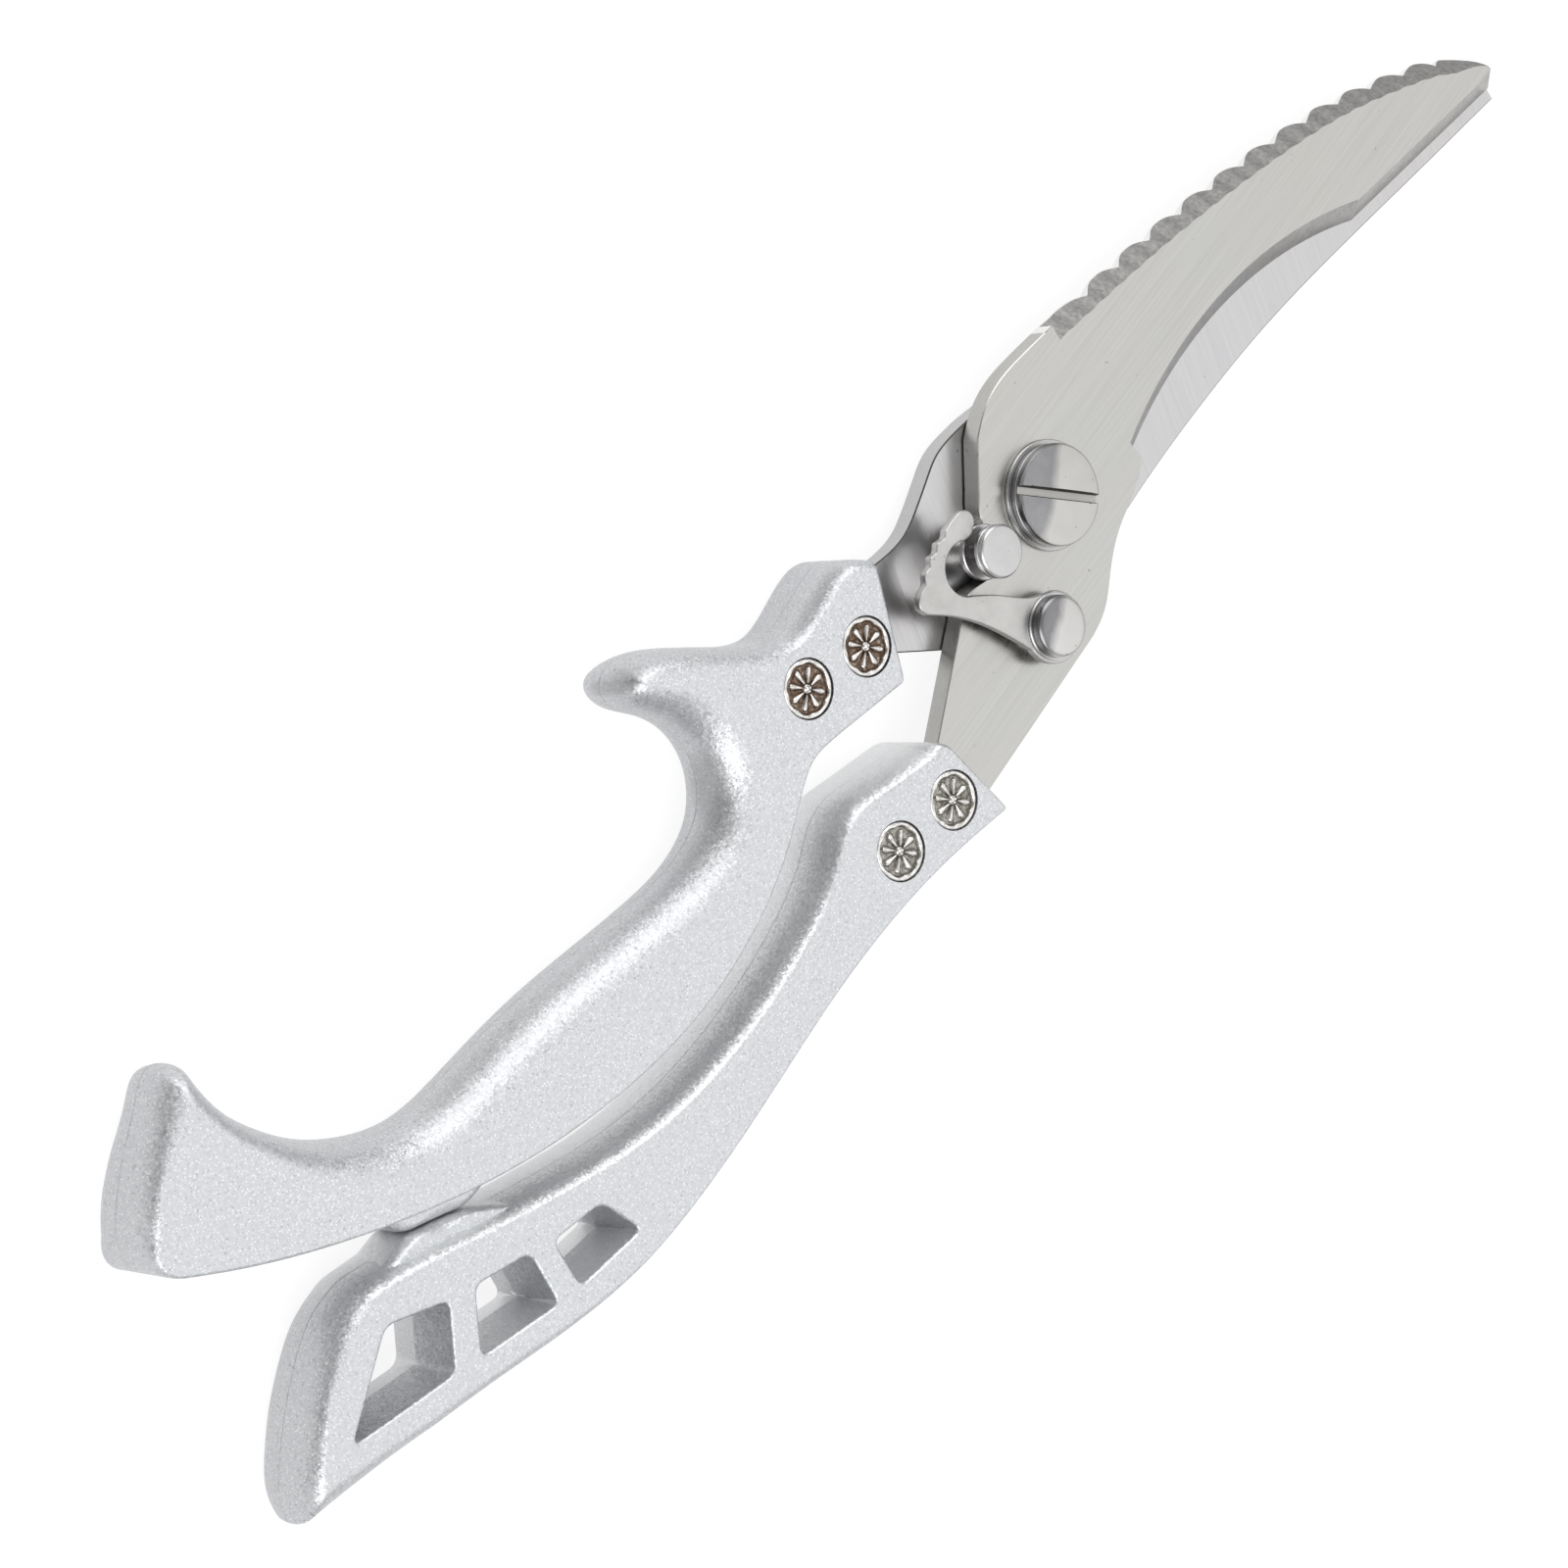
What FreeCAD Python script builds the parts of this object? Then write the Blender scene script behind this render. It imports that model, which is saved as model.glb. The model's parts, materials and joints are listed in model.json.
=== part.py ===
"""Poultry shears: two blade plates crossing at a slotted pivot screw, cast aluminium
handles riveted to their tangs, and a swinging latch that hooks over a stud.

Everything is drawn with the pivot axis at x = 0, y = 0 and the plane where the two
plates meet at z = 0.  +X points to the blade tips, +Z to the front of the shears, and
+Y to the thumb handle.  Each sub-part is then shifted so that the origin lies under
the middle of the closed shears, on the surface that they lie on.
"""

import FreeCAD, Part
import math
import os

from FreeCAD import Vector

# ---- driving dimensions, in mm -----------------------------------------------------
HANDLE_HALF = 6.3                # half the thickness of a handle
PLATE = 3.0                      # thickness of a blade plate
PLATE_GAP = 0.05                 # each plate stands this far off the meeting plane
PIVOT_FROM_MIDDLE = (30.25, 2.15)  # pivot axis, measured from the middle of the shears

BEVEL_WIDTH = 2.7                # ground cutting bevel, measured across the face
EDGE_LAND = 0.15                 # flat that is left along a ground cutting edge
BACK_BEVEL_WIDTH = 2.1           # bevel behind the teeth on the front blade's back
BACK_LAND = 1.0                  # plate that is left along the toothed back
BEVEL_REACH = 3.0                # how far past the bevel line the grinding cut runs
BEVEL_START = 0.8                # along the back, where its bevel begins
BEVEL_RUN_OUT = 7.0              # length over which the back bevel dies out at the tip
BEVEL_SECTIONS = 14
FRONT_TIP = (98.0, -2.8)
NOTCH_ARC_RADIUS = 65.3          # hollow of the front cutting edge
NOTCH_ARC_CENTRE = (42.5, -65.2)
TOOTH_COUNT = 11
TOOTH_PITCH = 6.46
TOOTH_DEPTH = 1.0
FIRST_TOOTH = 9.0                # from the start of the back bevel to the first notch

SCREW_HEAD_RADIUS = 6.45
SCREW_SHOULDER_RADIUS = 3.95
SCREW_THREAD_RADIUS = 3.0
RUNNING_GAP = 0.05
SCREW_SLOT_WIDTH = 1.35
SCREW_SLOT_ANGLE = -42.0
SPRING_RECESS = (5.0, 8.0, 1.25)  # inner radius, outer radius, depth in each plate
SPRING_RADIUS = 6.5
SPRING_WIRE = 0.5                # radius of the wire
SPRING_TURN = 335.0              # degrees of wire round the pivot
SPRING_LEG = 1.15                # how far each bent end reaches from the meeting plane
SPRING_LEG_RADIUS = 0.4
SPRING_LEG_SET = 5.0             # degrees from the end of the wire to the bent leg

LATCH_PIVOT = (-11.2, -12.1)
LATCH_BOTTOM = 4.53
LATCH_THICKNESS = 1.24
LATCH_RELEASE = 8.0              # degrees from hooked over the stud to just clear of it
STUD_AT = (-13.3, 1.2)
STUD_SHANK_RADIUS = 2.1
STUD_NECK_RADIUS = 1.1
STUD_HEAD_RADIUS = 3.35

RIVET_HEAD_RADIUS = 3.65
RIVET_RECESS_RADIUS = 3.78
RIVET_RECESS_DEPTH = 1.2
RIVET_BORE_RADIUS = 2.5
RIVET_POST_RADIUS = 1.6
LATCH_BARREL_RADIUS = 2.4        # the part of its rivet that the latch turns on
WASHER_GAP = 0.03
GRIP_ROUNDING = 2.0              # edge rounding on the side of a handle that is held
BUTT_ROUNDING = 1.2
LUG_HALF = 4.5                   # half the width of the stops between the handles
HEAD_BOTTOM = PLATE + 0.55       # under the pivot screw's head, on its washer
SCREW_END = -5.6

THUMB_RIVETS = {"front": (-36.5, 4.5), "rear": (-46.65, 6.0)}
FINGER_RIVETS = {"front": (-37.6, -18.5), "rear": (-47.9, -18.15)}

WINDOWS = (
    ((-149.8, -20.4), (-138.3, -12.9), (-130.3, -16.4), (-134.9, -23.4)),
    ((-130.9, -24.4), (-126.5, -17.5), (-118.7, -19.7), (-119.3, -26.9)),
    ((-115.7, -27.4), (-115.3, -20.8), (-107.6, -21.9), (-105.3, -28.0)),
)
WINDOW_CORNER = 1.1
WINDOW_DRAFT = 1.2               # how much each wall leans in from face to middle


# ---- helpers -----------------------------------------------------------------------
def vec(point, z=0.0):
    return Vector(point[0], point[1], z)


def smooth(points):
    """An edge that runs smoothly through the points."""
    curve = Part.BSplineCurve()
    curve.interpolate([vec(p) for p in points])
    return curve.toShape()


def straight(a, b):
    return Part.makeLine(vec(a), vec(b))


def arc(a, through, b):
    return Part.Arc(vec(a), vec(through), vec(b)).toShape()


def plate(edges, low, high):
    """A plate with the outline that the edges make, from z = low to z = high."""
    face = Part.Face(Part.Wire(edges))
    face.translate(Vector(0, 0, low))
    return face.extrude(Vector(0, 0, high - low))


def polygon(points, low, high):
    wire = Part.makePolygon([vec(p, low) for p in points] + [vec(points[0], low)])
    return Part.Face(wire).extrude(Vector(0, 0, high - low))


def cylinder(at, radius, low, high):
    return Part.makeCylinder(radius, high - low, vec(at, low))


def ring(at, outer, inner, low, high):
    return cylinder(at, outer, low, high).cut(cylinder(at, inner, low - 1, high + 1))


def turned(at, profile):
    """A turned piece: profile is (radius, z) from the bottom of its axis to the top."""
    points = [Vector(at[0] + r, at[1], z) for r, z in profile]
    face = Part.Face(Part.makePolygon(points + [points[0]]))
    return face.revolve(vec(at), Vector(0, 0, 1), 360)


def moved_in(points, distance):
    """The clockwise polygon with each side moved in by a distance."""
    sides = []
    for a, b in zip(points, points[1:] + points[:1]):
        way = (vec(b) - vec(a)).normalize()
        inward = Vector(way.y, -way.x, 0)
        sides.append((vec(a) + inward * distance, way))
    found = []
    for (p, d), (q, e) in zip(sides[-1:] + sides[:-1], sides):
        along = ((q - p).cross(e)).z / (d.cross(e)).z
        found.append(p + d * along)
    return [(v.x, v.y) for v in found]


def rounded_polygon(points, radius, z):
    """A closed wire of straight sides and round corners at height z."""
    corners = []
    count = len(points)
    for n in range(count):
        here = vec(points[n], z)
        back = (vec(points[n - 1], z) - here).normalize()
        ahead = (vec(points[(n + 1) % count], z) - here).normalize()
        half = back.getAngle(ahead) / 2
        reach = radius / math.tan(half)
        middle = (back + ahead).normalize() * (radius / math.sin(half) - radius)
        corners.append((here + back * reach, here + middle, here + ahead * reach))
    edges = []
    for n in range(count):
        start, through, end = corners[n]
        edges.append(Part.Arc(start, through, end).toShape())
        edges.append(Part.makeLine(end, corners[(n + 1) % count][0]))
    return Part.Wire(edges)


def edges_near(shape, z, points, reach=0.3):
    """The edges in the plane z whose middle lies on the outline through the points."""
    found = []
    for edge in shape.Edges:
        box = edge.BoundBox
        if abs(box.ZMin - z) > 1e-4 or abs(box.ZMax - z) > 1e-4:
            continue
        mid = edge.valueAt((edge.FirstParameter + edge.LastParameter) / 2)
        if any(stretch.distToShape(Part.Vertex(mid.x, mid.y, 0))[0] < reach
               for stretch in points):
            found.append(edge)
    return found


# ---- blade plates ------------------------------------------------------------------
def back_of_front_blade():
    """The curve that the tips of the teeth lie on, from the plate's shoulder to its tip."""
    curve = Part.BSplineCurve()
    curve.interpolate([vec(p) for p in (
        (13.0, 16.15), (31.8, 15.5), (46.0, 14.4), (61.8, 12.4), (74.3, 9.9),
        (85.8, 6.3), (91.8, 3.8), (95.4, 1.3), (97.5, -1.1), FRONT_TIP,
    )])
    return curve


def toothed_back():
    """Edges of the back: a plain start, the rounded teeth, and a plain run to the tip."""
    curve = back_of_front_blade()
    length = curve.length()

    def at(distance, inward=0.0):
        u = curve.parameterAtDistance(distance)
        point = curve.value(u)
        way = curve.tangent(u)[0]
        return (point.x + way.y * inward, point.y - way.x * inward)

    edges = []
    here = at(0)
    for n in range(TOOTH_COUNT + 1):
        notch = FIRST_TOOTH + n * TOOTH_PITCH
        low = at(notch, TOOTH_DEPTH)
        if n == 0:
            edges.append(arc(here, at(notch * 0.6), low))
        else:
            edges.append(arc(here, at(notch - TOOTH_PITCH * 0.5), low))
        here = low
    left = length - FIRST_TOOTH - TOOTH_COUNT * TOOTH_PITCH
    stations = [length - left * (1 - f) for f in (0.2, 0.5, 0.8)]
    edges.append(smooth([here] + [at(s) for s in stations] + [at(length)]))
    return edges


def arc_y(x):
    """Height of the hollow cutting edge, or of the curve that lies outside it, at x."""
    cx, cy = NOTCH_ARC_CENTRE
    return cy + math.sqrt(NOTCH_ARC_RADIUS ** 2 - (x - cx) ** 2)


def front_blade():
    low, high = PLATE_GAP, PLATE
    heel = (15.5, arc_y(15.5))
    corner = (66.6, arc_y(66.6))
    tip_edge = (98.6, -5.2)
    edges = toothed_back()
    edges += [
        straight(FRONT_TIP, tip_edge),
        straight(tip_edge, corner),
        arc(corner, (41.0, arc_y(41.0)), heel),
        smooth([heel, (13.3, -7.5), (7.5, -10.2), (2.6, -13.6), (-1.6, -17.1), (-5.0, -18.4)]),
        straight((-5.0, -18.4), (-30.0, -22.8)),
        straight((-30.0, -22.8), (-57.0, -22.0)),
        straight((-57.0, -22.0), (-57.0, -13.6)),
        straight((-57.0, -13.6), (-33.8, -13.6)),
        straight((-33.8, -13.6), (-19.0, -2.35)),
        smooth([(-19.0, -2.35), (-17.4, -1.8), (-14.2, -2.2), (-11.9, -1.6), (-11.1, 0.2)]),
        arc((-11.1, 0.2), (-10.6, 3.8), (-8.8, 6.8)),
        straight((-8.8, 6.8), (-4.7, 12.3)),
        smooth([(-4.7, 12.3), (-2.0, 14.2), (2.0, 15.7), (7.0, 16.15), (13.0, 16.15)]),
    ]
    blade = plate(edges, low, high)

    # the ground cutting edge: straight towards the tip, hollow towards the heel
    wedge = [(0, EDGE_LAND), (BEVEL_WIDTH, PLATE), (BEVEL_WIDTH, PLATE + 1),
             (-2, PLATE + 1), (-2, EDGE_LAND)]
    cx, cy = NOTCH_ARC_CENTRE
    points = [Vector(cx + NOTCH_ARC_RADIUS + d, cy, z) for d, z in wedge]
    hollow = Part.Face(Part.makePolygon(points + [points[0]])).revolve(
        Vector(cx, cy, 0), Vector(0, 0, 1), 180)
    reach = polygon([(12.5, -20), (12.5, 20), (corner[0], 20), (corner[0], -20)], -1, 9)
    blade = blade.cut(hollow.common(reach))
    run = vec(tip_edge) - vec(corner)
    across = Vector(-run.y, run.x, 0).normalize()
    start = vec(corner) - run.normalize() * 0.6
    points = [start + across * d + Vector(0, 0, z) for d, z in wedge]
    blade = blade.cut(Part.Face(Part.makePolygon(points + [points[0]])).extrude(run * 60))

    # the bevel behind the teeth
    blade = blade.cut(back_bevel())
    blade = blade.cut(cylinder((0, 0), SCREW_SHOULDER_RADIUS + RUNNING_GAP, -1, PLATE + 1))
    inner, outer, depth = SPRING_RECESS
    blade = blade.cut(ring((0, 0), outer, inner, low - 1, low + depth))
    blade = blade.cut(cylinder(LATCH_PIVOT, 2.0, -1, PLATE + 1))
    for at in FINGER_RIVETS.values():
        blade = blade.cut(cylinder(at, 2.5, -1, PLATE + 1))
    return blade


def back_bevel():
    """The wedge that is ground off along the toothed back, dying out at the tip."""
    curve = back_of_front_blade()
    length = curve.length()
    up = Vector(0, 0, 1)
    sections = []
    for n in range(BEVEL_SECTIONS + 1):
        distance = BEVEL_START + (length - BEVEL_START) * n / BEVEL_SECTIONS
        u = curve.parameterAtDistance(distance)
        way = curve.tangent(u)[0]
        out = Vector(-way.y, way.x, 0)
        width = BACK_BEVEL_WIDTH * min(1.0, (length - distance) / BEVEL_RUN_OUT)
        slope = (PLATE - BACK_LAND) / BACK_BEVEL_WIDTH
        start = curve.value(u) - out * width + up * PLATE
        end = start + out * BEVEL_REACH
        corners = [start, start + up, end + up, end - up * (BEVEL_REACH * slope)]
        sections.append(Part.makePolygon(corners + corners[:1]))
    return Part.makeLoft(sections, True, False)


def rear_blade():
    low, high = -PLATE, -PLATE_GAP
    tip = (98.6, -4.7)
    heel = (15.0, 7.2)
    edges = [
        arc(heel, (57.0, 4.3), tip),
        straight(tip, (98.7, -6.9)),
        smooth([(98.7, -6.9), (80.0, -6.65), (60.0, -6.35), (45.0, -6.65), (30.0, -8.0),
                (18.0, -9.7), (8.5, -11.5)]),
        smooth([(8.5, -11.5), (3.0, -13.2), (-3.0, -14.2), (-10.0, -13.4), (-17.0, -10.4),
                (-23.6, -6.1)]),
        straight((-23.6, -6.1), (-31.0, -0.8)),
        straight((-31.0, -0.8), (-56.0, 2.9)),
        straight((-56.0, 2.9), (-56.0, 11.2)),
        straight((-56.0, 11.2), (-31.0, 9.3)),
        smooth([(-31.0, 9.3), (-24.5, 8.5), (-19.5, 8.6), (-15.5, 10.2), (-12.2, 11.9),
                (-9.4, 13.2), (-6.0, 13.7), (-2.2, 13.7)]),
        smooth([(-2.2, 13.7), (5.0, 12.7), (11.0, 10.2), (15.0, 7.2)]),
    ]
    blade = plate(edges, low, high)
    ground_edge = Part.Circle(vec(heel), Vector(57.0, 4.3, 0), vec(tip))
    centre, radius = ground_edge.Center, ground_edge.Radius
    wedge = [(0, -EDGE_LAND), (-BEVEL_WIDTH, -PLATE), (-BEVEL_WIDTH, -PLATE - 1),
             (2, -PLATE - 1), (2, -EDGE_LAND)]
    points = [Vector(centre.x + radius + d, centre.y, z) for d, z in wedge]
    ground = Part.Face(Part.makePolygon(points + [points[0]])).revolve(
        Vector(centre.x, centre.y, 0), Vector(0, 0, 1), 180)
    reach = polygon([(17.0, -20), (17.0, 20), (110, 20), (110, -20)], -9, 1)
    blade = blade.cut(ground.common(reach))
    blade = blade.cut(cylinder((0, 0), SCREW_THREAD_RADIUS, low - 1, high + 1))
    inner, outer, depth = SPRING_RECESS
    blade = blade.cut(ring((0, 0), outer, inner, high - depth, high + 1))
    blade = blade.cut(cylinder(STUD_AT, 1.6, low - 1, high + 1))
    for at in THUMB_RIVETS.values():
        blade = blade.cut(cylinder(at, 2.5, low - 1, high + 1))
    return blade


# ---- handles -----------------------------------------------------------------------
THUMB_GRIP = [
    (-138.2, 26.0), (-137.8, 19.4), (-135.6, 14.3), (-131.8, 9.0), (-126.5, 4.6),
    (-120.0, 1.7), (-112.0, 1.2), (-100.0, 1.4), (-88.0, 0.5), (-78.0, -0.4),
    (-70.5, -0.1), (-65.2, 2.2), (-62.5, 6.0), (-61.9, 10.0), (-63.2, 14.2), (-65.6, 17.4),
    (-67.2, 19.6), (-67.3, 21.8), (-65.9, 23.4), (-63.6, 23.5), (-61.0, 22.7), (-57.0, 20.4),
    (-52.0, 16.6), (-48.0, 13.8), (-44.0, 12.3), (-40.0, 12.8), (-36.0, 13.9), (-32.0, 14.0),
    (-28.6, 11.4),
]
THUMB_BOTTOM = [
    (-157.4, 11.2), (-148.0, 4.7), (-138.0, -1.0), (-126.0, -6.5), (-112.0, -11.2),
    (-97.0, -13.9), (-84.0, -14.1), (-72.0, -11.9), (-60.0, -6.6), (-54.5, -2.9),
    (-51.2, -1.3), (-47.5, -1.15),
]
THUMB_BUTT = [
    (-157.4, 11.2), (-155.7, 14.9), (-152.4, 18.9), (-148.6, 22.2), (-144.6, 25.2),
    (-140.9, 27.3), (-138.2, 26.0),
]
FINGER_TOP = [
    (-34.3, -11.2), (-40.0, -10.3), (-46.0, -9.3), (-50.0, -8.9), (-53.5, -10.0),
    (-57.5, -12.6), (-63.0, -15.1), (-71.0, -17.4), (-80.0, -18.95), (-90.0, -19.45),
    (-100.0, -18.45), (-110.0, -15.9), (-120.0, -12.8), (-130.0, -9.4), (-137.4, -7.5),
]
FINGER_BUTT = [
    (-137.4, -7.5), (-142.0, -8.2), (-147.3, -11.0), (-152.0, -14.7), (-155.8, -18.4),
    (-158.4, -21.8), (-159.2, -24.9),
]
FINGER_BOTTOM = [
    (-159.2, -24.9), (-150.0, -25.3), (-140.0, -26.7), (-130.0, -28.5), (-118.0, -30.8),
    (-107.0, -31.6), (-95.0, -30.7), (-80.0, -28.1), (-66.0, -25.4), (-54.0, -24.0),
    (-44.0, -23.8), (-31.4, -24.8),
]


def rivet_seats(handle, rivets):
    """Round recesses in both faces for the rivet heads, and the hole between them."""
    for at in rivets.values():
        handle = handle.cut(cylinder(at, RIVET_BORE_RADIUS, -HANDLE_HALF - 1, HANDLE_HALF + 1))
        floor = HANDLE_HALF - RIVET_RECESS_DEPTH
        handle = handle.cut(cylinder(at, RIVET_RECESS_RADIUS, floor, HANDLE_HALF + 1))
        handle = handle.cut(cylinder(at, RIVET_RECESS_RADIUS, -HANDLE_HALF - 1, -floor))
    return handle


def soften(shape, outline, radius):
    """Round the long edges along an outline stretch, on the front and the back face."""
    edges = []
    for z in (-HANDLE_HALF, HANDLE_HALF):
        edges += edges_near(shape, z, outline)
    return shape.makeFillet(radius, edges)


def thumb_handle():
    grip, butt, bottom = smooth(THUMB_GRIP), smooth(THUMB_BUTT), smooth(THUMB_BOTTOM)
    under = straight((-47.5, -1.15), (-34.4, -2.5))
    front = straight((-34.4, -2.5), (-28.6, 11.4))
    handle = plate([grip, front, under, bottom, butt], -HANDLE_HALF, HANDLE_HALF)
    handle = soften(handle, [grip], GRIP_ROUNDING)
    handle = soften(handle, [butt], BUTT_ROUNDING)
    lug = polygon([(-132.0, -3.3), (-129.0, -7.6), (-120.5, -10.9), (-113.0, -10.1),
                   (-118.0, -3.0)], -LUG_HALF, LUG_HALF)
    handle = handle.fuse(lug).removeSplitter()
    slot = polygon([(-56.05, 11.25), (-31.0, 9.35), (-25.0, 9.0), (-25.0, -1.6), (-31.0, -0.85),
                    (-56.05, 2.85)], -PLATE, -PLATE_GAP)
    return rivet_seats(handle.cut(slot), THUMB_RIVETS)


def finger_handle():
    top, butt, bottom = smooth(FINGER_TOP), smooth(FINGER_BUTT), smooth(FINGER_BOTTOM)
    front = straight((-31.4, -24.8), (-34.3, -11.2))
    handle = plate([top, butt, bottom, front], -HANDLE_HALF, HANDLE_HALF)
    handle = soften(handle, [top, butt], BUTT_ROUNDING)
    lug = polygon([(-136.0, -9.2), (-128.4, -7.95), (-120.6, -11.0), (-115.0, -15.2),
                   (-122.0, -16.5)], -LUG_HALF, LUG_HALF)
    handle = handle.fuse(lug).removeSplitter()
    for window in WINDOWS:
        waist = moved_in(list(window), WINDOW_DRAFT)
        for z in (-HANDLE_HALF, HANDLE_HALF):
            mouth = rounded_polygon(window, WINDOW_CORNER, z)
            middle = rounded_polygon(waist, WINDOW_CORNER, 0)
            handle = handle.cut(Part.makeLoft([middle, mouth], True, True))
    slot = polygon([(-57.05, -13.55), (-28.0, -13.55), (-28.0, -22.9), (-30.0, -22.85),
                    (-57.05, -22.05)], PLATE_GAP, PLATE)
    return rivet_seats(handle.cut(slot), FINGER_RIVETS)


# ---- rivets ------------------------------------------------------------------------
def rivet_post(at):
    """Front half of a handle rivet: dished head with a rim and a centre boss, on a post."""
    under = HANDLE_HALF - RIVET_RECESS_DEPTH
    face = HANDLE_HALF - 0.1
    floor = face - 0.45
    head = turned(at, [
        (0, under), (RIVET_HEAD_RADIUS, under), (RIVET_HEAD_RADIUS, face - 0.2),
        (RIVET_HEAD_RADIUS - 0.2, face), (RIVET_HEAD_RADIUS - 0.6, face),
        (RIVET_HEAD_RADIUS - 0.8, floor), (0.8, floor), (0.5, face - 0.1), (0, face - 0.05),
    ])
    return head.fuse(cylinder(at, RIVET_POST_RADIUS, -3.5, under)).removeSplitter()


def rivet_sleeve(at):
    """Rear half: a plain head and a sleeve that the post is driven into."""
    back = 0.1 - HANDLE_HALF
    under = RIVET_RECESS_DEPTH - HANDLE_HALF
    head = turned(at, [
        (0, back), (RIVET_HEAD_RADIUS - 0.3, back), (RIVET_HEAD_RADIUS, back + 0.3),
        (RIVET_HEAD_RADIUS, under), (0, under),
    ])
    sleeve = head.fuse(cylinder(at, RIVET_BORE_RADIUS - 0.05, under, -under - 0.1))
    return sleeve.cut(cylinder(at, RIVET_POST_RADIUS + 0.02, -3.6, HANDLE_HALF)).removeSplitter()


# ---- pivot -------------------------------------------------------------------------
def pivot_screw():
    top = HEAD_BOTTOM + 2.1
    r = SCREW_HEAD_RADIUS
    screw = turned((0, 0), [
        (0, SCREW_END), (SCREW_THREAD_RADIUS - 0.4, SCREW_END), (SCREW_THREAD_RADIUS, SCREW_END + 0.4),
        (SCREW_THREAD_RADIUS, -PLATE_GAP), (SCREW_SHOULDER_RADIUS, -PLATE_GAP),
        (SCREW_SHOULDER_RADIUS, HEAD_BOTTOM), (r, HEAD_BOTTOM), (r, top - 0.35),
        (r - 0.35, top - 0.05), (r * 0.6, top + 0.18), (0, top + 0.25),
    ])
    half = SCREW_SLOT_WIDTH / 2
    slot = polygon([(-9, -half), (9, -half), (9, half), (-9, half)], top - 1.1, top + 1)
    slot.rotate(Vector(0, 0, 0), Vector(0, 0, 1), SCREW_SLOT_ANGLE)
    return screw.cut(slot)


def pivot_nut():
    low, high = SCREW_END + 0.1, -PLATE - 0.5
    corners = [(5.6 * math.cos(math.radians(60 * n)), 5.6 * math.sin(math.radians(60 * n)))
               for n in range(6)]
    nut = polygon(corners, low, high)
    nut = nut.common(turned((0, 0), [(0, low), (5.1, low), (5.7, low + 0.5), (5.7, high), (0, high)]))
    return nut.cut(cylinder((0, 0), SCREW_THREAD_RADIUS, low - 1, high + 1))


def torsion_spring():
    """An open turn of wire in the hollow between the plates, one end bent into each."""
    middle = Vector(SPRING_RADIUS, 0, 0)
    section = Part.Face(Part.Wire(Part.makeCircle(SPRING_WIRE, middle, Vector(0, 1, 0))))
    turn = section.revolve(Vector(0, 0, 0), Vector(0, 0, 1), SPRING_TURN)
    legs = []
    for degrees, low, high in ((SPRING_LEG_SET, -SPRING_LEG, 0),
                               (SPRING_TURN - SPRING_LEG_SET, 0, SPRING_LEG)):
        angle = math.radians(degrees)
        at = (SPRING_RADIUS * math.cos(angle), SPRING_RADIUS * math.sin(angle))
        legs.append(cylinder(at, SPRING_LEG_RADIUS, low, high))
    return turn.multiFuse(legs)


# ---- latch -------------------------------------------------------------------------
def latch():
    """The hook, drawn where it holds the stud and then swung back until it clears it."""
    low, high = LATCH_BOTTOM, LATCH_BOTTOM + LATCH_THICKNESS
    px, py = LATCH_PIVOT
    ridges = []
    crest = [(-22.6, 6.0), (-20.9, 7.1), (-18.9, 7.9), (-16.9, 8.3), (-14.9, 8.5)]
    valley = [(-21.7, 6.3), (-19.8, 7.2), (-17.9, 7.7), (-15.8, 8.0)]
    for n in range(len(valley)):
        ridges.append(straight(crest[n], valley[n]))
        ridges.append(straight(valley[n], crest[n + 1]))
    edges = [
        smooth([(-24.3, 3.4), (-24.6, 4.6), (-23.9, 5.6), (-22.6, 6.0)]),
        *ridges,
        smooth([(-14.9, 8.5), (-12.6, 8.6), (-10.9, 8.1), (-10.4, 7.0), (-11.0, 5.8), (-12.4, 5.2)]),
        smooth([(-12.4, 5.2), (-13.3, 5.35), (-14.2, 5.9)]),
        arc((-14.2, 5.9), (-19.0, 4.0), (-17.6, -0.1)),
        smooth([(-17.6, -0.1), (-14.8, -2.8), (-11.2, -6.9), (-7.9, -9.0)]),
        arc((-7.9, -9.0), (px + 4.65, py - 0.6), (px - 0.6, py - 4.65)),
        arc((px - 0.6, py - 4.65), (px - 3.6, py - 3.0), (px - 4.65, py + 0.6)),
        smooth([(px - 4.65, py + 0.6), (-17.3, -7.5), (-19.6, -2.6), (-22.0, 0.8), (-24.3, 3.4)]),
    ]
    hook = plate(edges, low, high)
    hook = hook.cut(cylinder(LATCH_PIVOT, LATCH_BARREL_RADIUS + RUNNING_GAP, low - 1, high + 1))
    hook.rotate(vec(LATCH_PIVOT), Vector(0, 0, 1), LATCH_RELEASE)
    return hook


def latch_rivet():
    top = LATCH_BOTTOM + LATCH_THICKNESS + 0.38
    barrel = LATCH_BARREL_RADIUS
    return turned(LATCH_PIVOT, [
        (0, PLATE_GAP + 0.1), (2.0, PLATE_GAP + 0.1), (2.0, PLATE), (barrel, PLATE), (barrel, top),
        (3.95, top), (3.95, top + 0.9), (3.6, top + 1.35), (2.2, top + 1.6), (0, top + 1.7),
    ])


def latch_washer(outer, low, high):
    return ring(LATCH_PIVOT, outer, LATCH_BARREL_RADIUS, low, high)


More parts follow.
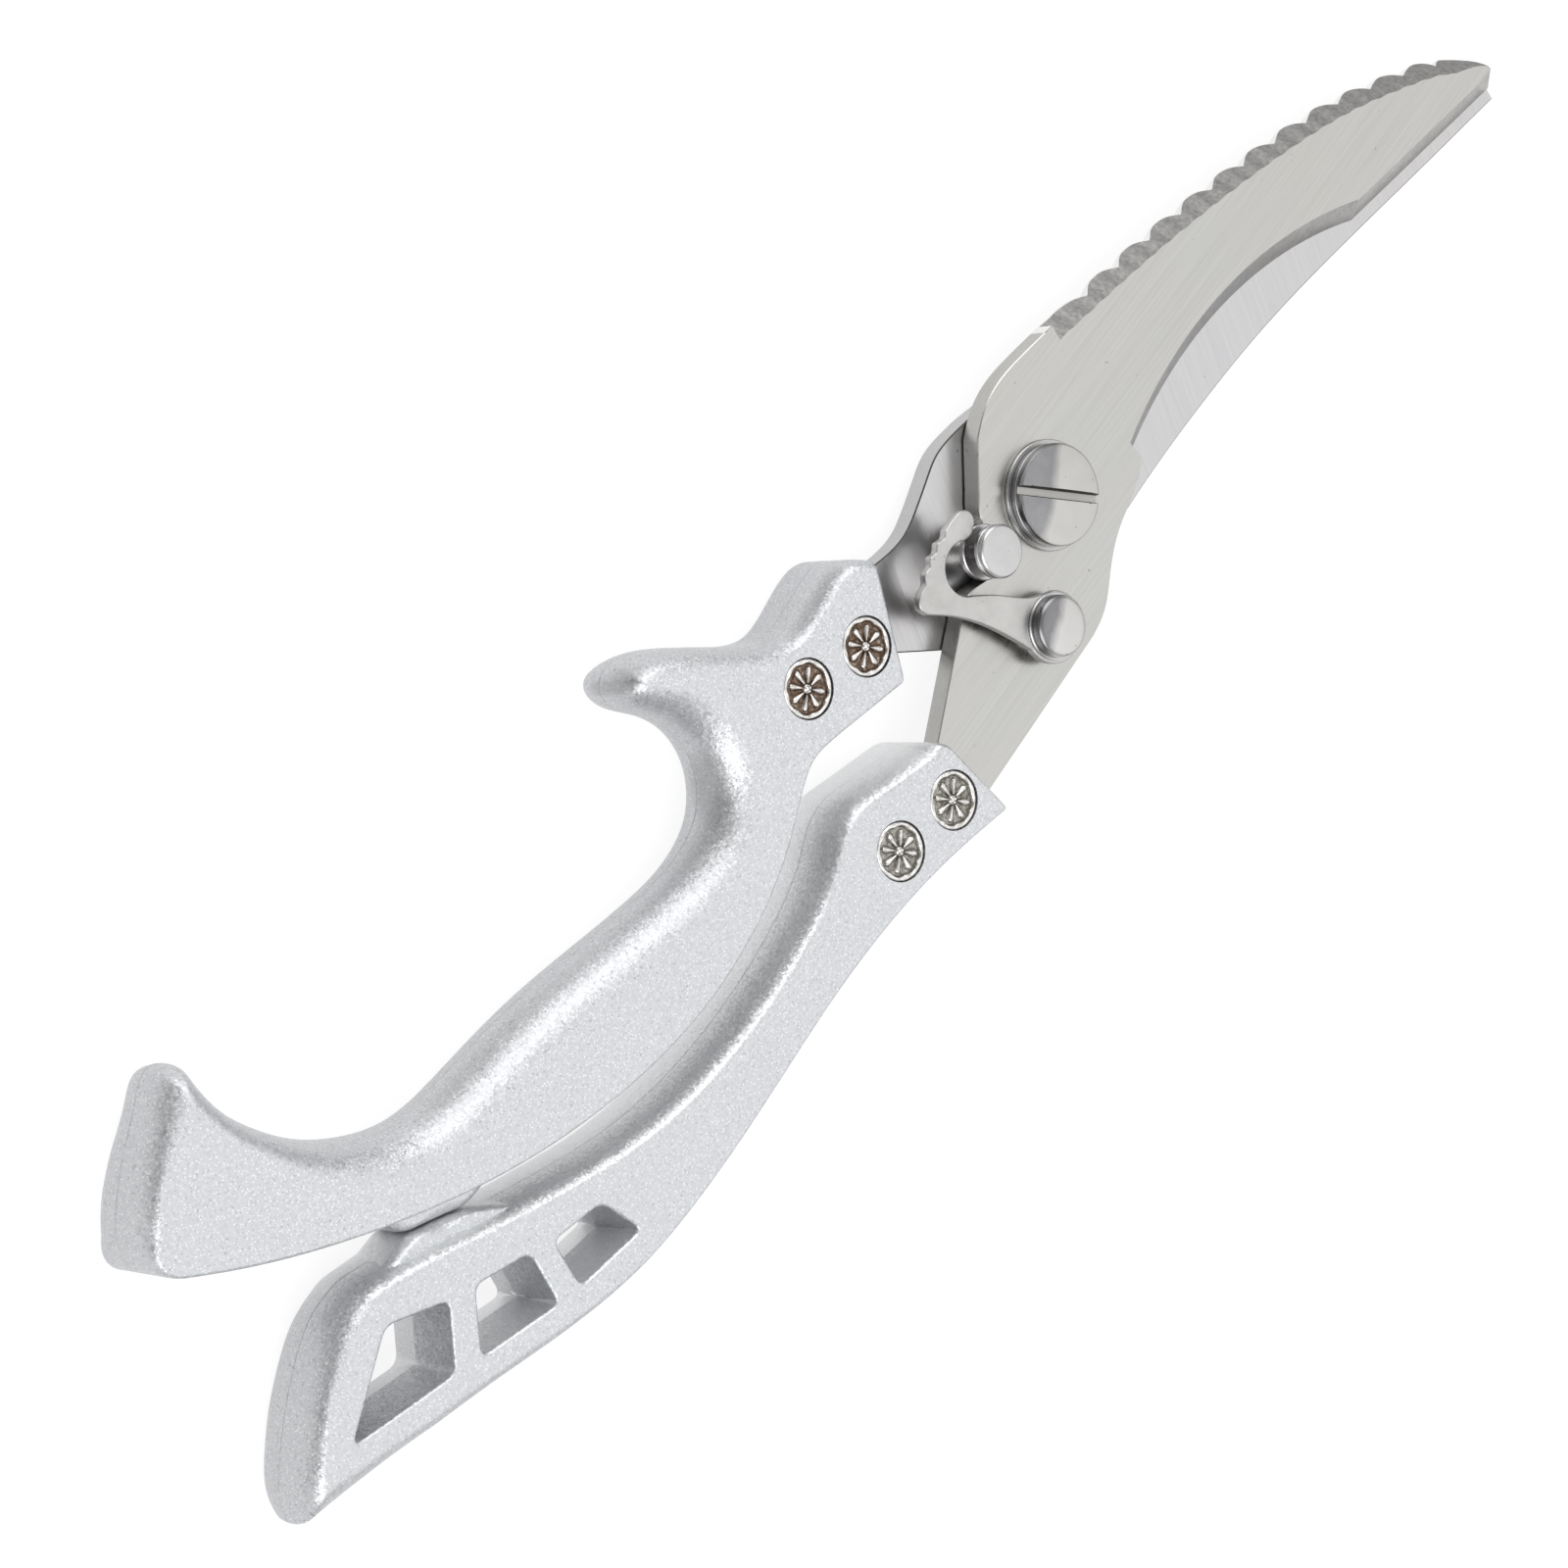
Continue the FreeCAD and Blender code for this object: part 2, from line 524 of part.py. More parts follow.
def catch_stud():
    return turned(STUD_AT, [
        (0, -PLATE), (1.6, -PLATE), (1.6, -PLATE_GAP), (STUD_SHANK_RADIUS, -PLATE_GAP),
        (STUD_SHANK_RADIUS, 3.3), (3.4, 3.3), (3.5, 3.4), (3.5, 4.1), (3.4, 4.2),
        (STUD_NECK_RADIUS, 4.2), (STUD_NECK_RADIUS, 6.05), (3.2, 6.05), (STUD_HEAD_RADIUS, 6.2),
        (STUD_HEAD_RADIUS, 7.3), (STUD_HEAD_RADIUS - 0.4, 7.6), (0, 7.6),
    ])


# ---- everything, in its place ------------------------------------------------------
def main():
    os.makedirs("parts", exist_ok=True)
    upper = LATCH_BOTTOM + LATCH_THICKNESS
    made = {
        "front_blade": front_blade(),
        "rear_blade": rear_blade(),
        "thumb_handle": thumb_handle(),
        "finger_handle": finger_handle(),
        "pivot_screw": pivot_screw(),
        "pivot_nut": pivot_nut(),
        "screw_washer": ring((0, 0), 7.0, SCREW_SHOULDER_RADIUS, PLATE + WASHER_GAP, HEAD_BOTTOM),
        "nut_washer": ring((0, 0), 6.6, SCREW_THREAD_RADIUS, -PLATE - 0.5, -PLATE),
        "torsion_spring": torsion_spring(),
        "latch": latch(),
        "latch_rivet": latch_rivet(),
        "latch_spacer": latch_washer(3.7, PLATE, LATCH_BOTTOM - WASHER_GAP),
        "latch_washer": latch_washer(4.3, upper + WASHER_GAP, upper + 0.38),
        "catch_stud": catch_stud(),
    }
    for side, rivets in (("thumb", THUMB_RIVETS), ("finger", FINGER_RIVETS)):
        for place, at in rivets.items():
            made[f"{side}_{place}_rivet_post"] = rivet_post(at)
            made[f"{side}_{place}_rivet_sleeve"] = rivet_sleeve(at)
    shift = Vector(PIVOT_FROM_MIDDLE[0], PIVOT_FROM_MIDDLE[1], HANDLE_HALF)
    for name, shape in made.items():
        shape.translate(shift)
        shape.exportStep(f"parts/{name}.step")
        box = shape.BoundBox
        print(f"{name:28s} {shape.isValid()} solids {len(shape.Solids)} volume {shape.Volume:9.1f}"
              f"  x {box.XMin:8.2f} {box.XMax:8.2f}  y {box.YMin:7.2f} {box.YMax:7.2f}"
              f"  z {box.ZMin:6.2f} {box.ZMax:6.2f}")


main()
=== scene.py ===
"""Poultry shears: the finished surfaces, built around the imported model.

Shapes are drawn in millimetres with the pivot axis at x = 0, y = 0 and the plane where
the two plates meet at z = 0.  +X points to the blade tips, +Y to the thumb handle and +Z
to the front.  A piece is moved into the frame, in metres, when its mesh is made.
"""

import json
import math

import bmesh
import bpy
import numpy as np
from mathutils import Matrix, Vector, geometry


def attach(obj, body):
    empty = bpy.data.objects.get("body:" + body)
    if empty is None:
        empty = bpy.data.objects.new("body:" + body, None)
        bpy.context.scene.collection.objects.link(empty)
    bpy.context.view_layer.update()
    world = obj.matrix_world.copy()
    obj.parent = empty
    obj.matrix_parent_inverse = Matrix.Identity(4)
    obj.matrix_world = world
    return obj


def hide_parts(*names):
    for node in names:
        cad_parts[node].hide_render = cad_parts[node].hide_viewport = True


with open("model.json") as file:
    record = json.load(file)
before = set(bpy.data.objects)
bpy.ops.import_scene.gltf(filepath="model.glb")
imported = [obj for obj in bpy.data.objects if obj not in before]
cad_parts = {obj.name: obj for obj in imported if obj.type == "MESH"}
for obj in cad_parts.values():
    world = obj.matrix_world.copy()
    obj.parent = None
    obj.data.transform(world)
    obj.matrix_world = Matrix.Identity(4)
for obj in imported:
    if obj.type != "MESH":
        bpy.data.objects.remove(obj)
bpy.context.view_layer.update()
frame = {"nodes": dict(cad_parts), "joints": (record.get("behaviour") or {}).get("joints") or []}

JOINTS = {joint["name"]: joint for joint in frame["joints"]}
PIVOT = np.array([*JOINTS["blade_joint"]["pos_m"]]) * 1000
LATCH_PIVOT = (np.array([*JOINTS["latch_joint"]["pos_m"]]) * 1000 - PIVOT)[:2]
HANDLE_HALF = 6.3                # the handles are this thick to each side of z = 0
PIVOT[2] = HANDLE_HALF
PLATE = 3.0                      # thickness of a blade plate
PLATE_GAP = 0.05                 # each plate stands this far off z = 0


# ---- lines and loops ----
# A row of a line is x, y and whatever else changes along it, such as a rounding.
def lengths(line):
    return np.concatenate([[0], np.cumsum(np.hypot(*np.diff(line[:, :2], axis=0).T))])


def spline(rows, step=0.7):
    """Samples the smooth line through the rows; the columns after x, y run straight."""
    rows = np.array(rows, float)
    t = lengths(rows)
    count = len(t)
    system = np.eye(count)
    right = np.zeros((count, 2))
    for i in range(1, count - 1):
        before, after = t[i] - t[i - 1], t[i + 1] - t[i]
        system[i, i - 1:i + 2] = before, 2 * (before + after), after
        right[i] = 6 * ((rows[i + 1, :2] - rows[i, :2]) / after
                        - (rows[i, :2] - rows[i - 1, :2]) / before)
    bend = np.linalg.solve(system, right)
    at = np.linspace(0, t[-1], max(2, math.ceil(t[-1] / step) + 1))
    i = np.clip(np.searchsorted(t, at, side="right") - 1, 0, count - 2)
    span = (t[i + 1] - t[i])[:, None]
    a = (t[i + 1] - at)[:, None] / span
    b = 1 - a
    places = (a * rows[i, :2] + b * rows[i + 1, :2]
              + ((a ** 3 - a) * bend[i] + (b ** 3 - b) * bend[i + 1]) * span ** 2 / 6)
    others = [np.interp(at, t, rows[:, k]) for k in range(2, rows.shape[1])]
    return np.column_stack([places] + others)


def straight(a, b, step=0.7):
    a, b = np.array(a, float), np.array(b, float)
    count = max(1, math.ceil(np.hypot(*(b - a)[:2]) / step))
    return a + (b - a) * np.linspace(0, 1, count + 1)[:, None]


def circle(at, radius, count=48):
    turn = np.linspace(0, 2 * math.pi, count, endpoint=False)
    return np.column_stack([at[0] + radius * np.cos(turn), at[1] + radius * np.sin(turn)])


def arc(a, through, b, step=0.7):
    """The arc from a to b through a third point."""
    (ax, ay), (bx, by), (cx, cy) = a, through, b
    d = 2 * (ax * (by - cy) + bx * (cy - ay) + cx * (ay - by))
    ux = ((ax ** 2 + ay ** 2) * (by - cy) + (bx ** 2 + by ** 2) * (cy - ay)
          + (cx ** 2 + cy ** 2) * (ay - by)) / d
    uy = ((ax ** 2 + ay ** 2) * (cx - bx) + (bx ** 2 + by ** 2) * (ax - cx)
          + (cx ** 2 + cy ** 2) * (bx - ax)) / d
    radius = math.hypot(ax - ux, ay - uy)
    start, middle, end = (math.atan2(y - uy, x - ux) for x, y in (a, through, b))
    turn = (end - start) % (2 * math.pi)
    if (middle - start) % (2 * math.pi) > turn:
        turn -= 2 * math.pi
    count = max(2, math.ceil(abs(turn) * radius / step))
    angle = start + turn * np.linspace(0, 1, count + 1)
    return np.column_stack([ux + radius * np.cos(angle), uy + radius * np.sin(angle)])


def trimmed(line, start, end):
    """The line without its first and last stretches of the given lengths."""
    t = lengths(line)
    keep = t[(t > start + 0.05) & (t < t[-1] - end - 0.05)]
    at = np.concatenate([[start], keep, [t[-1] - end]])
    return np.column_stack([np.interp(at, t, line[:, k]) for k in range(line.shape[1])])


def joined(lines, reaches, bend_points=7):
    """One closed loop of the lines. The corner after line i is rounded over reaches[i]."""
    kept = [trimmed(line, reaches[i - 1], reaches[i]) for i, line in enumerate(lines)]
    loop = []
    for i, line in enumerate(kept):
        following = kept[(i + 1) % len(kept)]
        if reaches[i] == 0:
            loop.append(line[:-1])
            continue
        share = np.linspace(0, 1, bend_points + 2)[1:-1, None]
        first, corner, last = line[-1], lines[i][-1], following[0]
        loop.append(line)
        loop.append(first * (1 - share) ** 2 + corner * 2 * share * (1 - share)
                    + last * share ** 2)
    return counter_clockwise(np.concatenate(loop))


def polygon(corners, reach, step=0.7):
    """A loop of straight sides, with its corners rounded."""
    corners = list(corners)
    sides = [straight(a, b, step) for a, b in zip(corners, corners[1:] + corners[:1])]
    return joined(sides, [reach] * len(sides))


def counter_clockwise(loop):
    x, y = loop[:, 0], loop[:, 1]
    area = np.sum(x * np.roll(y, -1) - y * np.roll(x, -1))
    return loop if area > 0 else loop[::-1]


def inward(loop):
    """Unit vectors into a counter-clockwise loop, one for each of its points."""
    before = loop[:, :2] - np.roll(loop[:, :2], 1, axis=0)
    after = np.roll(loop[:, :2], -1, axis=0) - loop[:, :2]
    before /= np.maximum(np.hypot(*before.T), 1e-9)[:, None]
    after /= np.maximum(np.hypot(*after.T), 1e-9)[:, None]
    way = before + after
    way /= np.maximum(np.hypot(*way.T), 1e-9)[:, None]
    return np.column_stack([-way[:, 1], way[:, 0]])


def moved_in(loop, distance):
    """The loop moved inwards by a distance, or outwards where it is negative."""
    return loop[:, :2] + inward(loop) * np.reshape(distance, (-1, 1))


def at_height(loop, z):
    """The loop's points at height z, which is one number or one for each point."""
    return np.column_stack([loop[:, :2], np.broadcast_to(z, len(loop))])


def turned_about(loop, centre, degrees):
    angle = math.radians(degrees)
    x, y = loop[:, 0] - centre[0], loop[:, 1] - centre[1]
    new = loop.copy()
    new[:, 0] = centre[0] + x * math.cos(angle) - y * math.sin(angle)
    new[:, 1] = centre[1] + x * math.sin(angle) + y * math.cos(angle)
    return new


def inside(loop, points):
    """Whether each point is inside the loop."""
    x, y = loop[:, 0], loop[:, 1]
    next_x, next_y = np.roll(x, -1), np.roll(y, -1)
    px, py = points[:, 0, None], points[:, 1, None]
    crosses = (y > py) != (next_y > py)
    rise = np.where(next_y == y, 1e-12, next_y - y)
    where = x + (py - y) * (next_x - x) / rise
    return np.count_nonzero(crosses & (px < where), axis=1) % 2 == 1


def distances(loop, points):
    """How far each point is from each stretch of the loop, and how far along it."""
    a = loop[:, :2]
    run = np.roll(a, -1, axis=0) - a
    squares = np.maximum((run ** 2).sum(1), 1e-12)
    apart = points[:, None, :2] - a[None]
    share = np.clip((apart * run[None]).sum(2) / squares, 0, 1)
    miss = apart - share[..., None] * run[None]
    return np.sqrt((miss ** 2).sum(2)), share


def grid(low, high, spacing):
    """A triangular grid of points over a rectangle."""
    rows = []
    for n, y in enumerate(np.arange(low[1], high[1], spacing * 0.866)):
        x = np.arange(low[0] + (n % 2) * spacing / 2, high[0], spacing)
        rows.append(np.column_stack([x, np.full(len(x), y)]))
    return np.concatenate(rows)


# ---- meshes ----
def placed(name, data):
    """A new object in the scene."""
    piece = bpy.data.objects.new(name, data)
    bpy.context.scene.collection.objects.link(piece)
    return piece


class Shell:
    """A closed mesh put together from walls between rings of points and filled caps."""

    def __init__(self):
        self.points = []
        self.faces = []
        self.marks = []
        self.traits = []

    def add(self, points, trait=0.0):
        start = len(self.points)
        self.points += [tuple(p) for p in points]
        self.traits += list(np.broadcast_to(trait, len(points)))
        return list(range(start, start + len(points)))

    def wall(self, rings, marks=0, traits=None):
        """Quads between rings that go round counter-clockwise, the lowest ring first."""
        rows = [self.add(ring, 0.0 if traits is None else traits[n])
                for n, ring in enumerate(rings)]
        for n, (low, high) in enumerate(zip(rows, rows[1:])):
            mark = marks if np.isscalar(marks) else marks[n]
            for i in range(len(low)):
                j = (i + 1) % len(low)
                self.faces.append((low[i], low[j], high[j], high[i]))
                self.marks.append(int(mark if np.isscalar(mark) else mark[i]))

    def cap(self, loops, z, up, mark=0, extra=None, height=None):
        """Fills the space between the first loop and the others, which are holes in it.

        z gives the height of each loop, and height(points) that of the extra points.
        """
        flat = [np.array(loop)[:, :2] for loop in loops]
        heights = [np.broadcast_to(h, len(loop)) for h, loop in zip(z, flat)]
        edges = []
        start = 0
        for loop in flat:
            count = len(loop)
            edges += [(start + i, start + (i + 1) % count) for i in range(count)]
            start += count
        if extra is not None and len(extra):
            flat.append(extra[:, :2])
            heights.append(height(extra))
        points, level = np.concatenate(flat), np.concatenate(heights)
        found, _, faces, sources, *_ = geometry.delaunay_2d_cdt(
            [Vector(p) for p in points], edges, [], 1, 1e-4)
        filled = []
        for place, source in zip(found, sources):
            if source:
                filled.append((*points[source[0]], level[source[0]]))
            else:
                nearest = np.argmin(np.hypot(*(points - np.array(place)).T))
                filled.append((place.x, place.y, level[nearest]))
        indices = self.add(filled)
        corners = np.array(filled)[np.array([face[:3] for face in faces])]
        middles = corners.mean(1)
        kept = inside(flat[0], middles)
        for hole in flat[1:len(loops)]:
            kept &= ~inside(hole, middles)
        one, two = corners[:, 1] - corners[:, 0], corners[:, 2] - corners[:, 0]
        upward = one[:, 0] * two[:, 1] - one[:, 1] * two[:, 0] > 0
        for face, keep, is_up in zip(faces, kept, upward):
            if keep:
                ordered = [indices[i] for i in face]
                self.faces.append(tuple(ordered if is_up == up else ordered[::-1]))
                self.marks.append(mark)

    def make(self, name, body, slot, materials, nodes, smooth_angle=35):
        """The piece: welded, in the frame, and smooth but for its sharp edges."""
        mesh = bpy.data.meshes.new(f"{name}_finished")
        places = (np.array(self.points) + PIVOT) / 1000
        mesh.from_pydata(places.tolist(), [], self.faces)
        trait = mesh.attributes.new("trait", "FLOAT", "POINT")
        trait.data.foreach_set("value", np.array(self.traits, np.float32))
        for material in materials:
            mesh.materials.append(material)
        mesh.polygons.foreach_set("material_index", np.array(self.marks, np.int32))
        weld(mesh)
        mesh.shade_smooth()
        mesh.set_sharp_from_angle(angle=math.radians(smooth_angle))
        piece = placed(f"{name}_finished", mesh)
        weighted = piece.modifiers.new("weighted_normals", "WEIGHTED_NORMAL")
        weighted.keep_sharp = True
        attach(piece, body)
        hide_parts(*nodes)
        return piece


def weld(mesh):
    """Joins points that lie on each other, and drops faces that have no area."""
    work = bmesh.new()
    work.from_mesh(mesh)
    bmesh.ops.remove_doubles(work, verts=work.verts, dist=3e-6)
    bmesh.ops.dissolve_degenerate(work, edges=work.edges, dist=1e-7)
    work.to_mesh(mesh)
    work.free()


def turned(shell, at, profile, count):
    """Adds a turned form: profile is (radius, z) from the bottom of its axis to the top."""
    shell.wall([at_height(circle(at, max(radius, 1e-3), count), z) for radius, z in profile])


def turned_piece(name, body, slot, look, at, profile, count=96, smooth_angle=30):
    shell = Shell()
    turned(shell, at, profile, count)
    return shell.make(name, body, slot, [look], [name], smooth_angle)


def through_hole(shell, rings):
    """The wall of a hole, from its front ring to its back ring."""
    shell.wall([ring[::-1] for ring in rings[::-1]])


def bored(shell, rings, bore):
    """Adds a wall up the rings, closed at both ends round a straight bore."""
    low, high = rings[0][0, 2], rings[-1][0, 2]
    shell.wall(rings)
    shell.cap([rings[0], bore], [low, low], False)
    shell.cap([rings[-1], bore], [high, high], True)
    through_hole(shell, [at_height(bore, high), at_height(bore, low)])


# ---- materials ----
def new_node(tree, kind, inputs=(), **settings):
    """A shader node with its inputs set, or linked where they come from another node."""
    node = tree.nodes.new("ShaderNode" + kind)
    for name, value in settings.items():
        setattr(node, name, value)
    for name, value in dict(inputs).items():
        if hasattr(value, "is_output"):
            tree.links.new(value, node.inputs[name])
        else:
            node.inputs[name].default_value = value
    return node


class Look:
    """A material being put together from nodes, in object coordinates, in metres."""

    def __init__(self, name, roughness, metallic=1.0):
        self.material = bpy.data.materials.new(name)
        self.material.use_nodes = True
        self.tree = self.material.node_tree
        self.shader = self.tree.nodes["Principled BSDF"]
        self.shader.inputs["Metallic"].default_value = metallic
        self.shader.inputs["Roughness"].default_value = roughness
        self.place = self.node("TexCoord").outputs["Object"]

    def node(self, kind, inputs=(), **settings):
        return new_node(self.tree, kind, inputs, **settings)

    def stretched(self, degrees, scales):
        """The place, turned so that X runs at an angle from the blades' length, and scaled."""
        turned_place = self.node("Mapping", {
            "Vector": self.place, "Rotation": (0, 0, -math.radians(degrees))})
        return self.node("Mapping", {
            "Vector": turned_place.outputs["Vector"], "Scale": scales}).outputs["Vector"]

    def noise(self, place, scale, detail=4.0, roughness=0.55):
        return self.node("TexNoise", {
            "Vector": place, "Scale": scale, "Detail": detail, "Roughness": roughness,
        }).outputs["Fac"]

    def between(self, value, low, high, start=0.3, end=0.7):
        """The value spread over a range of numbers."""
        return self.node("MapRange", {
            "Value": value, "From Min": start, "From Max": end, "To Min": low, "To Max": high,
        }).outputs["Result"]

    def tones(self, value, *stops):
        """Colours along the value: stops are (place, (red, green, blue))."""
        ramp = self.node("ValToRGB", {"Fac": value})
        elements = ramp.color_ramp.elements
        while len(elements) < len(stops):
            elements.new(0.5)
        for element, (at, colour) in zip(elements, stops):
            element.position = at
            element.color = (*colour, 1)
        return ramp.outputs["Color"]

    def blended(self, share, a, b, kind="MIX"):
        mix = self.node("MixRGB", {"Fac": share, "Color1": a, "Color2": b}, blend_type=kind)
        return mix.outputs["Color"]

    def pitted(self, colour, scale, start, end, tone):
        """The colour with small dark pits in it, and where the pits are."""
        pits = self.between(self.noise(self.place, scale, 2.0), 0.0, 1.0, start, end)
        return self.blended(pits, colour, (*tone, 1)), pits

    def maths(self, operation, a, b):
        return self.node("Math", {0: a, 1: b}, operation=operation).outputs[0]

    def dot(self, a, b):
        node = self.node("VectorMath", {0: a, 1: b}, operation="DOT_PRODUCT")
        return node.outputs["Value"]

    def sum(self, a, b):
        return self.node("VectorMath", {0: a, 1: b}, operation="ADD").outputs["Vector"]

    def bump(self, height, depth, normal=None, strength=1.0):
        inputs = {"Height": height, "Distance": depth, "Strength": strength}
        if normal is not None:
            inputs["Normal"] = normal
        return self.node("Bump", inputs).outputs["Normal"]

    def use(self, **inputs):
        for name, value in inputs.items():
            self.tree.links.new(value, self.shader.inputs[name.replace("_", " ")])
        return self.material


def cast_aluminium(name, painted_sheen, painted_shade):
    """Bead-blasted metal: thousands of small facets that glint, over a pale soft sheen. Walls facing
    given directions get a painted sheen or a painted shade in their colour, on the part of a handle
    nearer the pivot.
    """
    look = Look(name, 0.42)
    cells = look.node("TexVoronoi", {"Vector": look.place, "Scale": 4600.0})
    tilt = look.sum(cells.outputs["Color"], (-0.5, -0.5, -0.5))
    small = look.node("VectorMath", {0: tilt, "Scale": 0.24}, operation="SCALE")
    surface = look.node("NewGeometry").outputs["Normal"]
    facets = look.sum(surface, small.outputs[0])
    facets = look.node("VectorMath", {0: facets}, operation="NORMALIZE")
    patches = look.noise(look.place, 60.0, 3.0)
    grains = look.noise(look.place, 2000.0, 2.0)
    ripples = look.bump(look.noise(look.place, 1500.0, 2.0), 0.00001, facets.outputs[0], 0.5)
    colour = look.tones(grains, (0.3, (0.47, 0.48, 0.495)), (0.7, (0.575, 0.585, 0.6)))
    glints = look.node("TexVoronoi", {"Vector": look.place, "Scale": 2500.0})
    bright = look.between(glints.outputs["Distance"], 0.8, 0.0, 0.12, 0.34)
    colour = look.blended(bright, colour, (0.8, 0.81, 0.82, 1))
    pits = look.between(look.noise(look.place, 2700.0, 1.0), 0.0, 0.6, 0.61, 0.73)
    colour = look.blended(pits, colour, (0.26, 0.26, 0.27, 1))
    colour = look.blended(look.between(patches, 0.0, 0.2), colour, (0.52, 0.53, 0.55, 1))
    # painted sheen on walls facing +Y and painted shade on walls facing the way of the hook and the
    # horn, only on the part of the handle nearer the pivot
    along = look.node("SeparateXYZ", {"Vector": look.place}).outputs["X"]
    in_front = look.between(along, 0.0, 1.0, -0.112, -0.1)
    for way, share, tone, start, end in (
            ((0.0, 1.0, 0.0), painted_sheen, 0.97, 0.4, 0.85),
            ((-0.81, 0.5, 0.3), painted_shade, 0.2, 0.86, 0.98),
            ((-0.3, 0.8, 0.52), painted_shade * 0.7, 0.2, 0.86, 0.98)):
        amount = look.between(look.dot(surface, way), 0.0, share, start, end)
        colour = look.blended(look.maths("MULTIPLY", amount, in_front), colour,
                              (tone, tone, tone, 1))
    return look.use(Base_Color=colour, Normal=ripples,
                    Roughness=look.between(grains, 0.4, 0.52))


def brushed_steel(name, degrees, dark, light, pitch=1500.0, depth=0.00002,
                  roughness=(0.24, 0.36)):
    """Steel ground in one direction, with faint clouds of warmer and cooler grey."""
    look = Look(name, 0.3)
    fine = look.noise(look.stretched(degrees, (0.02, 1.0, 1.0)), pitch, 5.0, 0.6)
    broad = look.noise(look.stretched(degrees, (0.03, 1.0, 1.0)), pitch * 0.22, 3.0)
    clouds = look.noise(look.place, 45.0, 3.0)
    colour = look.tones(fine, (0.28, dark), (0.72, light))
    warm = look.tones(clouds, (0.35, (0.95, 0.91, 0.86)), (0.65, (0.88, 0.91, 0.94)))
    colour = look.blended(0.25, colour, look.blended(1.0, colour, warm, "MULTIPLY"))
    colour, _ = look.pitted(colour, 900.0, 0.74, 0.8, (0.22, 0.21, 0.2))
    height = look.maths("ADD", fine, look.maths("MULTIPLY", broad, 0.8))
    return look.use(Base_Color=colour, Normal=look.bump(height, depth, strength=0.6),
                    Roughness=look.between(broad, *roughness))


def rolled_steel(name, tone, roughness, mottling=0.12):
    """Stamped or turned steel that is left as it comes: mottled, with a few small pits."""
    look = Look(name, roughness)
    clouds = look.noise(look.place, 260.0, 4.0, 0.6)
    dark = tuple(c * (1 - mottling) for c in tone)
    light = tuple(min(1.0, c * (1 + mottling)) for c in tone)
    colour = look.tones(clouds, (0.3, dark), (0.7, light))
    colour, pits = look.pitted(colour, 1500.0, 0.7, 0.78, (0.2, 0.19, 0.18))
    height = look.maths("SUBTRACT", look.maths("MULTIPLY", clouds, 0.6), pits)
    return look.use(Base_Color=colour, Normal=look.bump(height, 0.00002, strength=0.5),
                    Roughness=look.between(clouds, roughness * 0.85, roughness * 1.2))


def turned_steel_painted_reflection(name, centre, start, light, dark):
    """Turned and polished steel with a painted reflection: its colour is lighter on one side of a line
    through its middle and darker on the other, standing in for the bright and dark sectors that a
    turned face reflects.
    """
    look = Look(name, 0.24)
    middle = [-(p + q) / 1000 for p, q in zip(PIVOT, (*centre, 0))]
    moved = look.node("Mapping", {"Vector": look.place, "Location": middle}).outputs["Vector"]
    wobble = look.noise(look.place, 170.0, 2.0)
    across = look.dot(moved, (-0.603, 0.798, 0))
    across = look.maths("ADD", across, look.between(wobble, -0.0006, 0.0006))
    # side is 0 on the painted light half and 1 on the painted dark half of the painted reflection
    side = look.between(across, 0.0, 1.0, (start - 0.7) / 1000, (start + 0.7) / 1000)
    clouds = look.noise(look.place, 260.0, 4.0, 0.6)
    pale = look.tones(clouds, (0.3, tuple(c * 0.92 for c in light)), (0.7, light))
    deep = look.tones(clouds, (0.3, dark), (0.7, tuple(c * 1.35 for c in dark)))
    colour = look.blended(side, pale, deep)
    colour, _ = look.pitted(colour, 1500.0, 0.7, 0.76, (0.12, 0.11, 0.1))
    return look.use(Base_Color=colour, Normal=look.bump(clouds, 0.000015, strength=0.5),
                    Roughness=look.between(clouds, 0.18, 0.3))


def worn_rosette(name, stain, field):
    """Pressed steel, bright where it is rubbed and stained where it is deep."""
    look = Look(name, 0.34)
    depth = look.node("Attribute", attribute_name="trait").outputs["Fac"]
    clouds = look.noise(look.place, 1500.0, 4.0, 0.7)
    edge = look.maths("ADD", depth, look.between(clouds, -0.16, 0.16))
    floor_tone = look.tones(clouds, (0.38, stain), (0.56, field), (0.7, (0.5, 0.47, 0.43)))
    worn = look.tones(clouds, (0.35, (0.42, 0.4, 0.37)), (0.58, (0.7, 0.69, 0.68)))
    colour = look.blended(look.between(edge, 0.0, 1.0, 0.3, 0.5), worn, floor_tone)
    colour = look.blended(look.between(depth, 0.0, 1.0, 1.05, 1.15), colour, (*stain, 1))
    return look.use(Base_Color=colour, Normal=look.bump(clouds, 0.00005, strength=0.6),
                    Roughness=look.between(edge, 0.25, 0.6, 0.2, 0.8))


